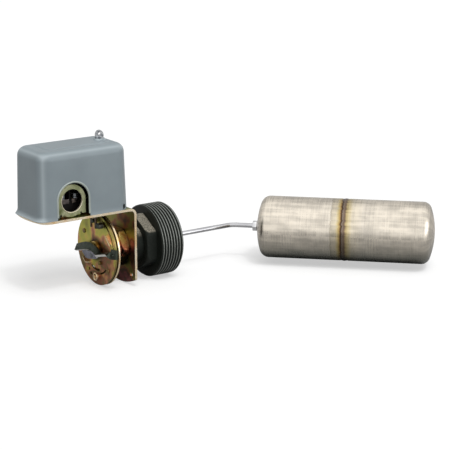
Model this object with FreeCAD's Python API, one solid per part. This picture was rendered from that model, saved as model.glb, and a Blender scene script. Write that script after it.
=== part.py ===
import FreeCAD, Part
import math
import os

# A screw-in float level switch for a closed tank. Millimetres throughout.
# The shaft runs along X. X is 0 where the plug's thread begins, and +X points into the tank.
# +Z is up, and the conduit holes face -Y and +Y.

# Driving dimensions: the threaded plug, and the nuts that clamp the bracket on it
THREAD_R = 36.5
THREAD_LENGTH = 25.4
HEAD_ACROSS_FLATS = 50.8
HEAD_LENGTH = 11.3
NECK_R = 19.0
NECK_LENGTH = 14.3
STUB_R = 12.5
BORE_R = 6.0
LOCKNUT_ACROSS_FLATS = 36.4
LOCKNUT_T = 8.0
JAM_NUT_ACROSS_FLATS = 34.0
JAM_NUT_T = 4.1
GLAND_ACROSS_FLATS = 14.0
GLAND_HEAD_T = 2.8
HUB_TO_GLAND = 1.4

# Driving dimensions: the folded bracket
PLATE_T = 2.4
PLATE_END_X = -131.2
PLATE_MARGIN = 1.7
BEND_OUTER_R = 6.4
FLANGE_CORNER_Z = -29.2
FLANGE_LOW_Z = -36.2
DRAIN_HOLE_R = 2.4
DRAIN_HOLE_TO_EDGE = 7.3

# Driving dimensions: the cover
COVER_X0 = -128.4
COVER_X1 = -32.3
COVER_HALF_WIDTH = 27.3
COVER_HEIGHT = 65.2
COVER_WALL = 1.0
COVER_CORNER_R = 9.0
COVER_TOP_R = 7.6
LIP_OUT = 2.7
NOTCH_R = 17.8
STUD_TO_COVER_END = 16.3

# Driving dimensions: the conduit frame
CONDUIT_X = -94.9
CONDUIT_HEIGHT = 16.4
CONDUIT_R = 11.1
FRAME_T = 1.6
FRAME_FOLD_R = 3.0
FRAME_WIDTH = 20.2
EAR_TO_NOTCH = 2.1
EAR_TO_COVER = 2.4

# Driving dimensions: the rod and the float
ROD_R = 2.4
ROD_BEND_X = 108.3
ROD_BEND_DEG = 45.0
ROD_BEND_R = 13.0
FLOAT_START = 27.6
FLOAT_LENGTH = 181.3
FLOAT_R = 31.7
FLOAT_CROWN_R = 80.0
FLOAT_KNUCKLE_R = 9.0
WELD_HALF_WIDTH = 2.0
WELD_RISE = 0.55

# Driving dimensions: the discs
DISC_R = 36.0
DISC_T = 1.8
DISC_GAP = 1.9
DISC_TO_PLATE = 4.8
HUB_R = 6.0
HUB_FLANGE_R = 9.0
HUB_FLANGE_T = 4.1
HUB_NUT_R = 8.2
HUB_NUT_T = 3.0
DISC_RIVETS = [(-21.4, -17.6), (22.5, 14.0), (25.0, -11.0)]
SPRING_AT = (-12.5, 26.6)
STOP_AT = (-7.4, -12.5)
LOOP_AT = (-1.1, -27.5)

# Driving dimensions: the trip lever and the switch block
TRIP_LEVER_T = 1.6
LEVER_TO_DISC = 2.0
PIN_BELOW_DISC_EDGE = 7.0
DRIVE_PIN_R = 2.0
PIVOT_HEIGHT = 8.8
PIVOT_R = 1.5
BLOCK_LENGTH = 43.0
BLOCK_HALF_WIDTH = 16.0
BLOCK_TOP = 10.8
RAIL_TOP = 14.8
BARRIER_TOP = 25.8
CONTACT_HEIGHT = 19.4
TERMINAL_PITCH = 14.0
TERMINAL_HALF = 5.4
TERMINAL_T = 1.2
BRIDGE_RIVET_PITCH = 5.6
SCREW_Y = 13.2

# Clearances
FREE = 0.05
SNUG = 0.1
LOOSE = 0.15

# Places that follow from the driving dimensions
FLANGE_X = -HEAD_LENGTH - NECK_LENGTH
FLANGE_BACK_X = FLANGE_X - PLATE_T
LOCKNUT_X = FLANGE_BACK_X - LOCKNUT_T
JAM_NUT_X = LOCKNUT_X - SNUG - JAM_NUT_T
STUB_X = JAM_NUT_X - 2 * SNUG
GLAND_X = STUB_X - GLAND_HEAD_T
BACK_DISC_X = GLAND_X - HUB_TO_GLAND - HUB_FLANGE_T
FRONT_DISC_X = BACK_DISC_X - 2 * DISC_T - DISC_GAP
FRONT_DISC_BACK_X = FRONT_DISC_X + DISC_T
HUB_NUT_X = FRONT_DISC_X - HUB_NUT_T
ROD_START_X = HUB_NUT_X - 4 * SNUG

PLATE_LOW = DISC_R + DISC_TO_PLATE
PLATE_TOP = PLATE_LOW + PLATE_T
PLATE_HALF_WIDTH = COVER_HALF_WIDTH + PLATE_MARGIN
COVER_TOP = PLATE_TOP + COVER_HEIGHT
STUD_X = COVER_X1 - STUD_TO_COVER_END
CONDUIT_Z = PLATE_TOP + CONDUIT_HEIGHT
NOTCH_X = CONDUIT_X - 0.5
NOTCH_Z = CONDUIT_Z + 1.2
FRAME_TOP = PLATE_TOP + FRAME_T
EAR_X = CONDUIT_X - 0.8
EAR_Y = COVER_HALF_WIDTH - EAR_TO_COVER
EAR_R = NOTCH_R - EAR_TO_NOTCH

TRIP_X = FRONT_DISC_X - LEVER_TO_DISC - TRIP_LEVER_T
TRIP_MID_X = TRIP_X + TRIP_LEVER_T / 2
DRIVE_PIN_Z = DISC_R - PIN_BELOW_DISC_EDGE
PIVOT_Z = PLATE_TOP + PIVOT_HEIGHT
BLOCK_X1 = TRIP_X - 5.2
BLOCK_X0 = BLOCK_X1 - BLOCK_LENGTH
BLOCK_Z = PLATE_TOP + BLOCK_TOP
RAIL_Z = PLATE_TOP + RAIL_TOP
CONTACT_Z = PLATE_TOP + CONTACT_HEIGHT
TERMINAL_MID_X = BLOCK_X0 + 1.4 + TERMINAL_HALF + TERMINAL_PITCH / 2
TERMINAL_XS = (TERMINAL_MID_X - TERMINAL_PITCH / 2, TERMINAL_MID_X + TERMINAL_PITCH / 2)
BRIDGE_RIVET_XS = (TERMINAL_MID_X - BRIDGE_RIVET_PITCH / 2,
                   TERMINAL_MID_X + BRIDGE_RIVET_PITCH / 2)


# Plain shapes that many pieces share
def box(x0, x1, y0, y1, z0, z1):
    return Part.makeBox(x1 - x0, y1 - y0, z1 - z0, FreeCAD.Vector(x0, y0, z0))


def rod_x(x0, x1, r, y=0.0, z=0.0):
    return Part.makeCylinder(r, x1 - x0, FreeCAD.Vector(x0, y, z), FreeCAD.Vector(1, 0, 0))


def rod_y(y0, y1, r, x, z):
    return Part.makeCylinder(r, y1 - y0, FreeCAD.Vector(x, y0, z), FreeCAD.Vector(0, 1, 0))


def rod_z(z0, z1, r, x, y):
    return Part.makeCylinder(r, z1 - z0, FreeCAD.Vector(x, y, z0), FreeCAD.Vector(0, 0, 1))


def ring_x(x0, x1, r_in, r_out):
    return rod_x(x0, x1, r_out).cut(rod_x(x0 - 1, x1 + 1, r_in))


def prism_x(x0, x1, points):
    """Solid along X from a closed outline of (y, z) points."""
    wire = Part.makePolygon([FreeCAD.Vector(x0, y, z) for y, z in points + points[:1]])
    return Part.Face(wire).extrude(FreeCAD.Vector(x1 - x0, 0, 0))


def hexagon(across_flats, first_corner_deg):
    """Six corners round the origin, as pairs."""
    r = across_flats / math.sqrt(3)
    turns = [math.radians(first_corner_deg + 60 * k) for k in range(6)]
    return [(r * math.cos(a), r * math.sin(a)) for a in turns]


def hexagon_x(x0, x1, across_flats, first_corner_deg):
    return prism_x(x0, x1, hexagon(across_flats, first_corner_deg))


def fuse_all(shapes):
    shape = shapes[0].multiFuse(shapes[1:]) if len(shapes) > 1 else shapes[0]
    return shape.removeSplitter()


def both_sides(side, near, far):
    """The two ends of a span on one side of the middle plane, in rising order."""
    return sorted((side * near, side * far))


def rounded_outline(x0, x1, half_y, r, z):
    """Closed wire of a rounded rectangle at height z."""
    v, k = FreeCAD.Vector, r * (1 - math.sqrt(0.5))
    turns = [(x1, -half_y, (-r, 0), (-k, k), (0, r)), (x1, half_y, (0, -r), (-k, -k), (-r, 0)),
             (x0, half_y, (r, 0), (k, -k), (0, -r)), (x0, -half_y, (0, r), (k, k), (r, 0))]
    arcs = [Part.Arc(*[v(cx + dx, cy + dy, z) for dx, dy in three]) for cx, cy, *three in turns]
    edges = []
    for here, following in zip(arcs, arcs[1:] + arcs[:1]):
        edges += [here.toShape(), Part.makeLine(here.EndPoint, following.StartPoint)]
    return Part.Wire(edges)


# The bracket, folded from one plate, with a shallow curve at its far end and below its flange
PIVOT_RIVET_Y = 16.6
TRIP_SLOT_HALF = 12.6
BLOCK_SCREW_R = 1.7
RIVET_R = 1.5
PIVOT_RIVET_R = 1.2
STUD_R = 2.4
FRAME_RIVET_Y = EAR_Y - FRAME_FOLD_R - 2.3
FRAME_RIVETS = [(CONDUIT_X - 3.6, -FRAME_RIVET_Y), (CONDUIT_X + 3.9, FRAME_RIVET_Y)]
BLOCK_SCREWS = [(BLOCK_X1 - 4.5, -12.0), (BLOCK_X1 - 4.5, 12.0)]


def plate_outline(z):
    """The plate's outline: square at the fold, rounded corners and a bowed end."""
    v, w, end, corner = FreeCAD.Vector, PLATE_HALF_WIDTH, PLATE_END_X, PLATE_END_X + 2.4
    fold, side = FLANGE_X - BEND_OUTER_R, corner + 9.0
    a, b = corner + 2.9, w - 2.5
    return Part.Wire([
        Part.makeLine(v(fold, -w, z), v(fold, w, z)), Part.makeLine(v(fold, w, z), v(side, w, z)),
        Part.Arc(v(side, w, z), v(a, b, z), v(corner, w - 8.6, z)).toShape(),
        Part.Arc(v(corner, w - 8.6, z), v(end, 0, z), v(corner, 8.6 - w, z)).toShape(),
        Part.Arc(v(corner, 8.6 - w, z), v(a, -b, z), v(side, -w, z)).toShape(),
        Part.makeLine(v(side, -w, z), v(fold, -w, z))])


def make_bracket():
    v, w, x0 = FreeCAD.Vector, PLATE_HALF_WIDTH, FLANGE_BACK_X
    fold_x, fold_z = FLANGE_X - BEND_OUTER_R, PLATE_TOP - BEND_OUTER_R
    plate = Part.Face(plate_outline(PLATE_LOW)).extrude(v(0, 0, PLATE_T))
    fold = rod_y(-w, w, BEND_OUTER_R, fold_x, fold_z)
    fold = fold.cut(rod_y(-w - 1, w + 1, BEND_OUTER_R - PLATE_T, fold_x, fold_z))
    fold = fold.common(box(fold_x, fold_x + 2 * BEND_OUTER_R, -w, w, fold_z, fold_z + 2 * BEND_OUTER_R))
    edge = Part.Wire([
        Part.makeLine(v(x0, -w, fold_z), v(x0, w, fold_z)),
        Part.makeLine(v(x0, w, fold_z), v(x0, w, FLANGE_CORNER_Z)),
        Part.Arc(v(x0, w, FLANGE_CORNER_Z), v(x0, 0, FLANGE_LOW_Z), v(x0, -w, FLANGE_CORNER_Z)).toShape(),
        Part.makeLine(v(x0, -w, FLANGE_CORNER_Z), v(x0, -w, fold_z))])
    flange = Part.Face(edge).extrude(v(PLATE_T, 0, 0))
    low, top = PLATE_LOW - 1, PLATE_TOP + 1
    tools = [rod_x(x0 - 1, FLANGE_X + 1, STUB_R + SNUG), rod_z(low, top, STUD_R + FREE, STUD_X, 0),
             box(TRIP_MID_X - 2.4, TRIP_MID_X + 2.4, -TRIP_SLOT_HALF, TRIP_SLOT_HALF, low, top)]
    for side in (-1, 1):
        drain = side * (w - DRAIN_HOLE_TO_EDGE), FLANGE_CORNER_Z + 3.4
        tools.append(rod_x(x0 - 1, FLANGE_X + 1, DRAIN_HOLE_R, *drain))
        tools.append(rod_z(low, top, PIVOT_RIVET_R + FREE, TRIP_MID_X, side * PIVOT_RIVET_Y))
    tools += [rod_z(low, top, BLOCK_SCREW_R + FREE, x, y) for x, y in BLOCK_SCREWS]
    tools += [rod_z(low, top, RIVET_R + FREE, x, y) for x, y in FRAME_RIVETS]
    return fuse_all([plate, fold, flange]).cut(tools)


# The inner frame, folded up at both sides, with the two conduit holes in its ears
def make_conduit_frame():
    r, half = FRAME_FOLD_R, FRAME_WIDTH / 2
    x0, x1, flat_y, fold_z = CONDUIT_X - half - 1.2, CONDUIT_X + half - 1.2, EAR_Y - r, PLATE_TOP + r
    parts = [box(x0, x1, -flat_y, flat_y, PLATE_TOP, FRAME_TOP)]
    for side in (-1, 1):
        y0, y1 = both_sides(side, EAR_Y - FRAME_T, EAR_Y)
        fold = rod_x(x0, x1, r, side * flat_y, fold_z)
        fold = fold.cut(rod_x(x0 - 1, x1 + 1, r - FRAME_T, side * flat_y, fold_z))
        ya, yb = both_sides(side, flat_y, EAR_Y + 1)
        parts.append(fold.common(box(x0, x1, ya, yb, PLATE_TOP - 1, fold_z)))
        parts.append(box(EAR_X - EAR_R, EAR_X + EAR_R, y0, y1, fold_z, CONDUIT_Z))
        parts.append(rod_y(y0, y1, EAR_R, EAR_X, CONDUIT_Z))
    tools = [rod_y(-EAR_Y - 1, EAR_Y + 1, CONDUIT_R, CONDUIT_X, CONDUIT_Z)]
    for x in (x0 - 0.9, x1 + 0.9):
        tools.append(box(x - 0.9, x + 0.9, -EAR_Y - 1, EAR_Y + 1, PLATE_TOP, fold_z + 1.4))
    tools += [rod_z(PLATE_TOP - 1, FRAME_TOP + 1, RIVET_R + FREE, x, y) for x, y in FRAME_RIVETS]
    return fuse_all(parts).cut(tools)


def rivet_z(x, y, r, low, top, head_r, head_t):
    """Upright rivet with a head at both ends."""
    return fuse_all([rod_z(low - head_t, top + head_t, r, x, y), rod_z(top, top + head_t, head_r, x, y),
                     rod_z(low - head_t, low, head_r, x, y)])


def make_frame_rivets():
    return Part.makeCompound([rivet_z(x, y, RIVET_R, PLATE_LOW, FRAME_TOP, 2.7, 0.9) for x, y in FRAME_RIVETS])


# The moulded switch block with its two rails and barriers
SCREW_R = 1.6
SCREW_HEAD_R = 3.4
CONTACT_R = 1.9
RAIL_WIDTH = 7.4


def make_contact_block():
    w, z0, wall = BLOCK_HALF_WIDTH, FRAME_TOP + SNUG, 1.2
    frame_end = CONDUIT_X + FRAME_WIDTH / 2 - 1.2 + 0.4
    parts = [box(BLOCK_X0, BLOCK_X1, -w, w, z0, BLOCK_Z), box(frame_end, BLOCK_X1, -w, w, PLATE_TOP, z0 + SNUG),
             box(BLOCK_X0, BLOCK_X0 + wall, -w, w, BLOCK_Z - SNUG, RAIL_Z + 8.0)]
    for side in (-1, 1):
        y0, y1 = both_sides(side, w - RAIL_WIDTH, w)
        parts.append(box(BLOCK_X0, TERMINAL_XS[1] + TERMINAL_HALF + 1.6, y0, y1, BLOCK_Z - SNUG, RAIL_Z))
        parts.append(box(TERMINAL_MID_X - 0.8, TERMINAL_MID_X + 0.8, y0, y1, RAIL_Z - SNUG,
                         PLATE_TOP + BARRIER_TOP))
    tools = [rod_z(PLATE_LOW, BLOCK_Z + 1, BLOCK_SCREW_R + FREE, x, y) for x, y in BLOCK_SCREWS]
    for x in TERMINAL_XS:
        tools += [rod_z(BLOCK_Z - 3.0, RAIL_Z + 1, SCREW_R + FREE, x, side * SCREW_Y) for side in (-1, 1)]
    return fuse_all(parts).cut(tools)


# One terminal: a screw plate with a lip over the rail's edge and a contact tab turned up behind
def make_terminal(x, side):
    w, top, back = BLOCK_HALF_WIDTH, RAIL_Z + TERMINAL_T, BLOCK_HALF_WIDTH - RAIL_WIDTH

    def strip(near, far, z0, z1, half):
        y0, y1 = both_sides(side, near, far)
        return box(x - half, x + half, y0, y1, z0, z1)
    y0, y1 = both_sides(side, back - 1.0, back + SNUG)
    parts = [strip(back, w + TERMINAL_T, RAIL_Z, top, TERMINAL_HALF),
             strip(w + SNUG, w + TERMINAL_T, RAIL_Z - 3.0, top - SNUG, TERMINAL_HALF),
             strip(back, back + 1.0, top - SNUG, CONTACT_Z + 3.4, 3.2), rod_y(y0, y1, CONTACT_R, x, CONTACT_Z)]
    return fuse_all(parts).cut(rod_z(RAIL_Z - 6, top + 1, SCREW_R + FREE, x, side * SCREW_Y))


def slotted_screw(x, y, r, tip_z, seat_z, head_r, head_t):
    screw = fuse_all([rod_z(tip_z, seat_z, r, x, y), rod_z(seat_z, seat_z + head_t, head_r, x, y)])
    slot = box(x - head_r - 1, x + head_r + 1, y - 0.4, y + 0.4, seat_z + head_t - 1.0, seat_z + head_t + 1)
    return screw.cut(slot)


def make_terminal_screws():
    seat = RAIL_Z + TERMINAL_T
    solids = []
    for x in TERMINAL_XS:
        for y in (-SCREW_Y, SCREW_Y):
            washer = rod_z(seat, seat + 1.0, SCREW_HEAD_R, x, y)
            screw = slotted_screw(x, y, SCREW_R, BLOCK_Z - 2.8, seat + 1.8, SCREW_HEAD_R - 0.3, 2.6)
            solids.append(fuse_all([washer, screw, rod_z(seat, seat + 2.0, SCREW_HEAD_R - 1.0, x, y)]))
    return Part.makeCompound(solids)


def make_block_screws():
    return Part.makeCompound([slotted_screw(x, y, BLOCK_SCREW_R, PLATE_LOW - 0.4, BLOCK_Z, 3.2, 2.4)
                              for x, y in BLOCK_SCREWS])


# The sliding contact carrier and its two bridges
CARRIER_HALF = 3.2
BRIDGE_T = 0.8


def make_contact_carrier():
    x0, x1, arm_x = BLOCK_X0 + 1.8, BLOCK_X1 - 1.0, TRIP_MID_X + 1.8
    slider = box(x0, x1, -CARRIER_HALF, CARRIER_HALF, BLOCK_Z + SNUG, CONTACT_Z + 1.2)
    arm = box(x1 - SNUG, arm_x, -4.4, 4.4, CONTACT_Z - 4.6, CONTACT_Z + 0.4)
    pocket = box(TRIP_MID_X - 1.6, TRIP_MID_X + 1.6, -2.1, 2.1, CONTACT_Z - 5.6, CONTACT_Z + 1.4)
    holes = [rod_y(-5, 5, 1.0 + FREE, x, CONTACT_Z) for x in BRIDGE_RIVET_XS]
    return fuse_all([slider, arm]).cut([pocket] + holes)


def make_bridge(side):
    y0, y1 = both_sides(side, CARRIER_HALF, CARRIER_HALF + BRIDGE_T)
    a, b = both_sides(side, CARRIER_HALF + BRIDGE_T - SNUG, CARRIER_HALF + BRIDGE_T + SNUG)
    bar = box(TERMINAL_XS[0] - 2.5, TERMINAL_XS[1] + 2.5, y0, y1, CONTACT_Z - 2.0, CONTACT_Z + 2.0)
    tips = [rod_y(a, b, CONTACT_R, x, CONTACT_Z) for x in TERMINAL_XS]
    return fuse_all([bar] + tips).cut([rod_y(-6, 6, 1.0 + FREE, x, CONTACT_Z) for x in BRIDGE_RIVET_XS])


def make_bridge_rivets():
    y = CARRIER_HALF + BRIDGE_T
    return Part.makeCompound([fuse_all([rod_y(-y, y, 1.0, x, CONTACT_Z), rod_y(-y - 0.6, -y, 1.9, x, CONTACT_Z),
                                        rod_y(y, y + 0.6, 1.9, x, CONTACT_Z)]) for x in BRIDGE_RIVET_XS])


# The forked lever that carries the discs' motion up through the plate, with its bracket and pin
FORK_HALF = 5.4
FORK_GAP = DRIVE_PIN_R + 1.2
LEVER_HALF = 4.0
TONGUE_HALF = 1.2


def make_trip_lever():
    pin, pivot = DRIVE_PIN_Z, PIVOT_Z
    right = [(FORK_GAP, pin + 2.4), (FORK_GAP, pin - 7.0), (FORK_HALF, pin - 7.0), (FORK_HALF, pin + 5.0),
             (LEVER_HALF, pin + 8.0), (LEVER_HALF, pivot + 2.5), (TONGUE_HALF, pivot + 5.2),
             (TONGUE_HALF, CONTACT_Z - 1.4)]
    left = [(-y, z) for y, z in reversed(right)]
    lever = prism_x(TRIP_X, TRIP_X + TRIP_LEVER_T, right + left)
    return lever.cut(rod_x(TRIP_X - 1, TRIP_X + TRIP_LEVER_T + 1, PIVOT_R + FREE, 0, pivot))


PIVOT_PLATE_T = 1.4


def make_pivot_bracket():
    x0, x1, t, top = TRIP_MID_X - 4.4, TRIP_MID_X + 4.2, PIVOT_PLATE_T, PLATE_TOP + PIVOT_PLATE_T
    base = box(x0, x1, -PIVOT_RIVET_Y - 3.2, PIVOT_RIVET_Y + 3.2, PLATE_TOP, top)
    ear = [(-6.5, PLATE_TOP), (6.5, PLATE_TOP), (3.6, PIVOT_Z + 3.6), (-3.6, PIVOT_Z + 3.6)]
    ears = [prism_x(x, x + t, ear) for x in (x0, x1 - t)]
    tools = [box(x0 + t + 0.4, x1 - t - 0.2, -TRIP_SLOT_HALF, TRIP_SLOT_HALF, PLATE_TOP - 1, top + 1),
             rod_x(x0 - 1, x1 + 1, PIVOT_R + FREE, 0, PIVOT_Z)]
    tools += [rod_z(PLATE_TOP - 1, top + 1, PIVOT_RIVET_R + FREE, TRIP_MID_X, side * PIVOT_RIVET_Y)
              for side in (-1, 1)]
    return fuse_all([base] + ears).cut(tools)


def make_pivot_rivets():
    top = PLATE_TOP + PIVOT_PLATE_T
    return Part.makeCompound([rivet_z(TRIP_MID_X, side * PIVOT_RIVET_Y, PIVOT_RIVET_R, PLATE_LOW, top, 2.2, 0.8)
                              for side in (-1, 1)])


def make_lever_pin():
    x0, x1 = TRIP_MID_X - 5.2, TRIP_MID_X + 5.0
    return fuse_all([rod_x(x0, x1, PIVOT_R, 0, PIVOT_Z), rod_x(x0 - 0.8, x0 + SNUG, PIVOT_R + 1.0, 0, PIVOT_Z)])


# The stud that the cover nut screws on, with its collar above the plate and its nut below
def make_cover_stud():
    return fuse_all([rod_z(DISC_R + LOOSE, COVER_TOP + 3.6, STUD_R, STUD_X, 0),
                     rod_z(PLATE_TOP, PLATE_TOP + 1.6, STUD_R + 1.2, STUD_X, 0)])


def make_stud_nut():
    height = DISC_TO_PLATE * 0.625
    corners = [FreeCAD.Vector(STUD_X + x, y, PLATE_LOW - height) for x, y in hexagon(7.4, 0)]
    nut = Part.Face(Part.makePolygon(corners + corners[:1])).extrude(FreeCAD.Vector(0, 0, height))
    return nut.cut(rod_z(PLATE_LOW - height - 1, PLATE_LOW + 1, STUD_R + FREE, STUD_X, 0))


# The cover: a drafted shell with rounded edges, a flared lip at its left end and two arched notches
END_DRAFT = (0.9, 2.4)
SIDE_DRAFT = 1.4
PAD_RISE = 0.6


def cover_shell(inset, z_low, z_top):
    corner, top_round = COVER_CORNER_R - inset, COVER_TOP_R - inset
    x0, x1, half = COVER_X0 + inset, COVER_X1 - inset, COVER_HALF_WIDTH - inset
    low = rounded_outline(x0, x1, half, corner, z_low)
    high = rounded_outline(x0 + END_DRAFT[0], x1 - END_DRAFT[1], half - SIDE_DRAFT, corner, z_top)
    solid = Part.makeLoft([low, high], True, True)
    rim = [e for e in solid.Edges if all(abs(v.Point.z - z_top) < 0.01 for v in e.Vertexes)]
    return solid.makeFillet(top_round, rim)


def cover_lip():
    levels = [(LIP_OUT, 0.5, 0.8, 0.0), (LIP_OUT - 0.2, 0.4, 0.8, 0.9), (0.1, 0.0, 0.0, 3.2)]
    wires = [rounded_outline(COVER_X0 - out, COVER_X1, COVER_HALF_WIDTH + side, COVER_CORNER_R + extra,
                             PLATE_TOP + rise) for out, side, extra, rise in levels]
    return Part.makeLoft(wires, True, True)


def make_cover():
    outer = cover_shell(0.0, PLATE_TOP, COVER_TOP)
    pad = rounded_outline(COVER_X0 + 14.4, COVER_X1 - 7.7, COVER_HALF_WIDTH - 12.8, 5.0, COVER_TOP - 1.5)
    pad = Part.Face(pad).extrude(FreeCAD.Vector(0, 0, 1.5 + PAD_RISE))
    pad = pad.makeFillet(0.5, [e for e in pad.Edges if all(v.Point.z > COVER_TOP for v in e.Vertexes)])
    boss = Part.makeCone(6.6, 5.5, 1.5, FreeCAD.Vector(STUD_X, 0, COVER_TOP + PAD_RISE - SNUG))
    inner = cover_shell(COVER_WALL, PLATE_TOP - 0.5, COVER_TOP - COVER_WALL)
    y = COVER_HALF_WIDTH + 10
    tools = [inner, box(NOTCH_X - NOTCH_R, NOTCH_X + NOTCH_R, -y, y, PLATE_TOP - 2, NOTCH_Z),
             rod_y(-y, y, NOTCH_R, NOTCH_X, NOTCH_Z),
             rod_z(COVER_TOP - 8, COVER_TOP + 8, STUD_R + 2 * LOOSE, STUD_X, 0)]
    slot_x, slot_r, low, high = COVER_X1 - 6.0, 1.4, PLATE_TOP + 2.0, PLATE_TOP + 4.2
    tools += [rod_y(-y, y, slot_r, slot_x, low), rod_y(-y, y, slot_r, slot_x, high),
              box(slot_x - slot_r, slot_x + slot_r, -y, y, low, high)]
    return outer.multiFuse([cover_lip(), pad, boss]).cut(tools)


# The eye nut: a round foot and a flat rounded tab with a hole through it
EYE_R = 3.9
EYE_HALF_T = 2.2
EYE_TURN = -20.0


def make_cover_nut():
    z0 = COVER_TOP + PAD_RISE - SNUG + 1.5
    turn = (FreeCAD.Vector(STUD_X, 0, 0), FreeCAD.Vector(0, 0, 1), EYE_TURN)
    eye = rod_y(-EYE_HALF_T, EYE_HALF_T, EYE_R, STUD_X, z0 + 3.8)
    neck = box(STUD_X - EYE_R, STUD_X + EYE_R, -EYE_HALF_T, EYE_HALF_T, z0 + 1.5, z0 + 3.8)
    hole = rod_y(-EYE_R, EYE_R, 1.5, STUD_X, z0 + 4.3)
    for shape in (eye, neck, hole):
        shape.rotate(*turn)
    body = fuse_all([rod_z(z0, z0 + 2.0, 4.1, STUD_X, 0), eye, neck])
    return body.cut([hole, rod_z(z0 - 1, z0 + 1.9, STUD_R + FREE, STUD_X, 0)])


# The cast plug: hexagonal head, neck, threaded stub and a body hollowed on its wet side
def chamfered_hexagon(x0, x1, across_flats, first_corner_deg, chamfer):
    """Hexagonal prism along X whose corners are turned down at its low X end."""
    corner_r = across_flats / math.sqrt(3)
    cone = Part.makeCone(corner_r - chamfer, corner_r + 1, (chamfer + 1) * 1.25, FreeCAD.Vector(x0, 0, 0),
                         FreeCAD.Vector(1, 0, 0))
    keep = cone.fuse(rod_x(x0 + (chamfer + 1) * 1.25, x1 + 1, corner_r + 1))
    return hexagon_x(x0, x1, across_flats, first_corner_deg).common(keep)


def make_bushing():
    floor_x, nose_x, rim_r = THREAD_LENGTH - 16.4, THREAD_LENGTH - 3.4, THREAD_R - 7.0
    parts = [rod_x(0, THREAD_LENGTH, THREAD_R), rod_x(FLANGE_X, -HEAD_LENGTH, NECK_R),
             rod_x(STUB_X, FLANGE_X, STUB_R),
             chamfered_hexagon(-HEAD_LENGTH, 0.0, HEAD_ACROSS_FLATS, 30, 1.7)]
    hollow = ring_x(floor_x, THREAD_LENGTH + 1, BORE_R + 5.5, rim_r)
    nose = rod_x(nose_x, THREAD_LENGTH + 1, BORE_R + 6.0)
    return fuse_all(parts).cut([hollow, nose, rod_x(STUB_X - 1, THREAD_LENGTH + 1, BORE_R)])


def make_locknut():
    nut = chamfered_hexagon(LOCKNUT_X, FLANGE_BACK_X, LOCKNUT_ACROSS_FLATS, 0, 1.8)
    return nut.cut(rod_x(LOCKNUT_X - 1, FLANGE_BACK_X + 1, STUB_R))


def make_jam_nut():
    x1 = JAM_NUT_X + JAM_NUT_T
    nut = chamfered_hexagon(JAM_NUT_X, x1, JAM_NUT_ACROSS_FLATS, 4, 0.9)
    return nut.cut(rod_x(JAM_NUT_X - 1, x1 + 1, STUB_R))


# The bearing and seal inside the plug
PACKING_T = 4.0
GLAND_END_X = STUB_X + 11.4
SHAFT_BUSH_LENGTH = 39.0


def make_gland():
    head = hexagon_x(GLAND_X, STUB_X, GLAND_ACROSS_FLATS, 0)
    barrel = rod_x(STUB_X - SNUG, GLAND_END_X, BORE_R)
    return fuse_all([head, barrel]).cut(rod_x(GLAND_X - 1, GLAND_END_X + 1, ROD_R + FREE))


def make_packing_ring(n):
    x0 = GLAND_END_X + PACKING_T * n
    return ring_x(x0, x0 + PACKING_T, ROD_R + FREE, BORE_R)


def make_shaft_bush():
    x0 = GLAND_END_X + 3 * PACKING_T
    return ring_x(x0, x0 + SHAFT_BUSH_LENGTH, ROD_R + FREE, BORE_R)


# The bent rod: two straight lengths joined by an arc
ROD_IN_FLOAT = 11.0


def bend_frame():
    a = math.radians(ROD_BEND_DEG)
    return FreeCAD.Vector(math.cos(a), -math.sin(a), 0), math.tan(a / 2) * ROD_BEND_R


def make_rod():
    v, a = FreeCAD.Vector, math.radians(ROD_BEND_DEG / 2)
    along, cut_back = bend_frame()
    corner, bend_start = v(ROD_BEND_X, 0, 0), v(ROD_BEND_X - cut_back, 0, 0)
    bend_end = corner + along * cut_back
    middle = bend_start + v(math.sin(a) * ROD_BEND_R, (math.cos(a) - 1) * ROD_BEND_R, 0)
    path = Part.Wire([Part.makeLine(v(ROD_START_X, 0, 0), bend_start),
                      Part.Arc(bend_start, middle, bend_end).toShape(),
                      Part.makeLine(bend_end, corner + along * (FLOAT_START + ROD_IN_FLOAT))])
    profile = Part.Wire([Part.makeCircle(ROD_R, v(ROD_START_X, 0, 0), v(1, 0, 0))])
    return path.makePipeShell([profile], True, False)


# The closed float: domed ends, a small boss and the weld bead round its middle
FLOAT_BOSS_R = 4.6
FLOAT_BOSS_OUT = 0.6


def along_second_leg(shape, distance):
    """Turns a shape made along X onto the rod's second leg, its origin at a distance from the bend."""
    along, _ = bend_frame()
    shape.rotate(FreeCAD.Vector(0, 0, 0), FreeCAD.Vector(0, 0, 1), -ROD_BEND_DEG)
    shape.translate(FreeCAD.Vector(ROD_BEND_X, 0, 0) + along * distance)
    return shape


def float_end(sign):
    """Two arcs of a domed end, from its tip to the straight wall, as five points."""
    v, r, k, crown, half = FreeCAD.Vector, FLOAT_R, FLOAT_KNUCKLE_R, FLOAT_CROWN_R, FLOAT_LENGTH / 2
    meet = math.asin((r - k) / (crown - k))
    depth = crown - (crown - k) * math.cos(meet)
    mid = (meet + math.pi / 2) / 2
    crown_x, knuckle_x = half - crown, half - depth
    return (v(sign * half, 0, 0),
            v(sign * (crown_x + crown * math.cos(meet / 2)), crown * math.sin(meet / 2), 0),
            v(sign * (crown_x + crown * math.cos(meet)), crown * math.sin(meet), 0),
            v(sign * (knuckle_x + k * math.cos(mid)), r - k + k * math.sin(mid), 0),
            v(sign * knuckle_x, r, 0))


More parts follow.
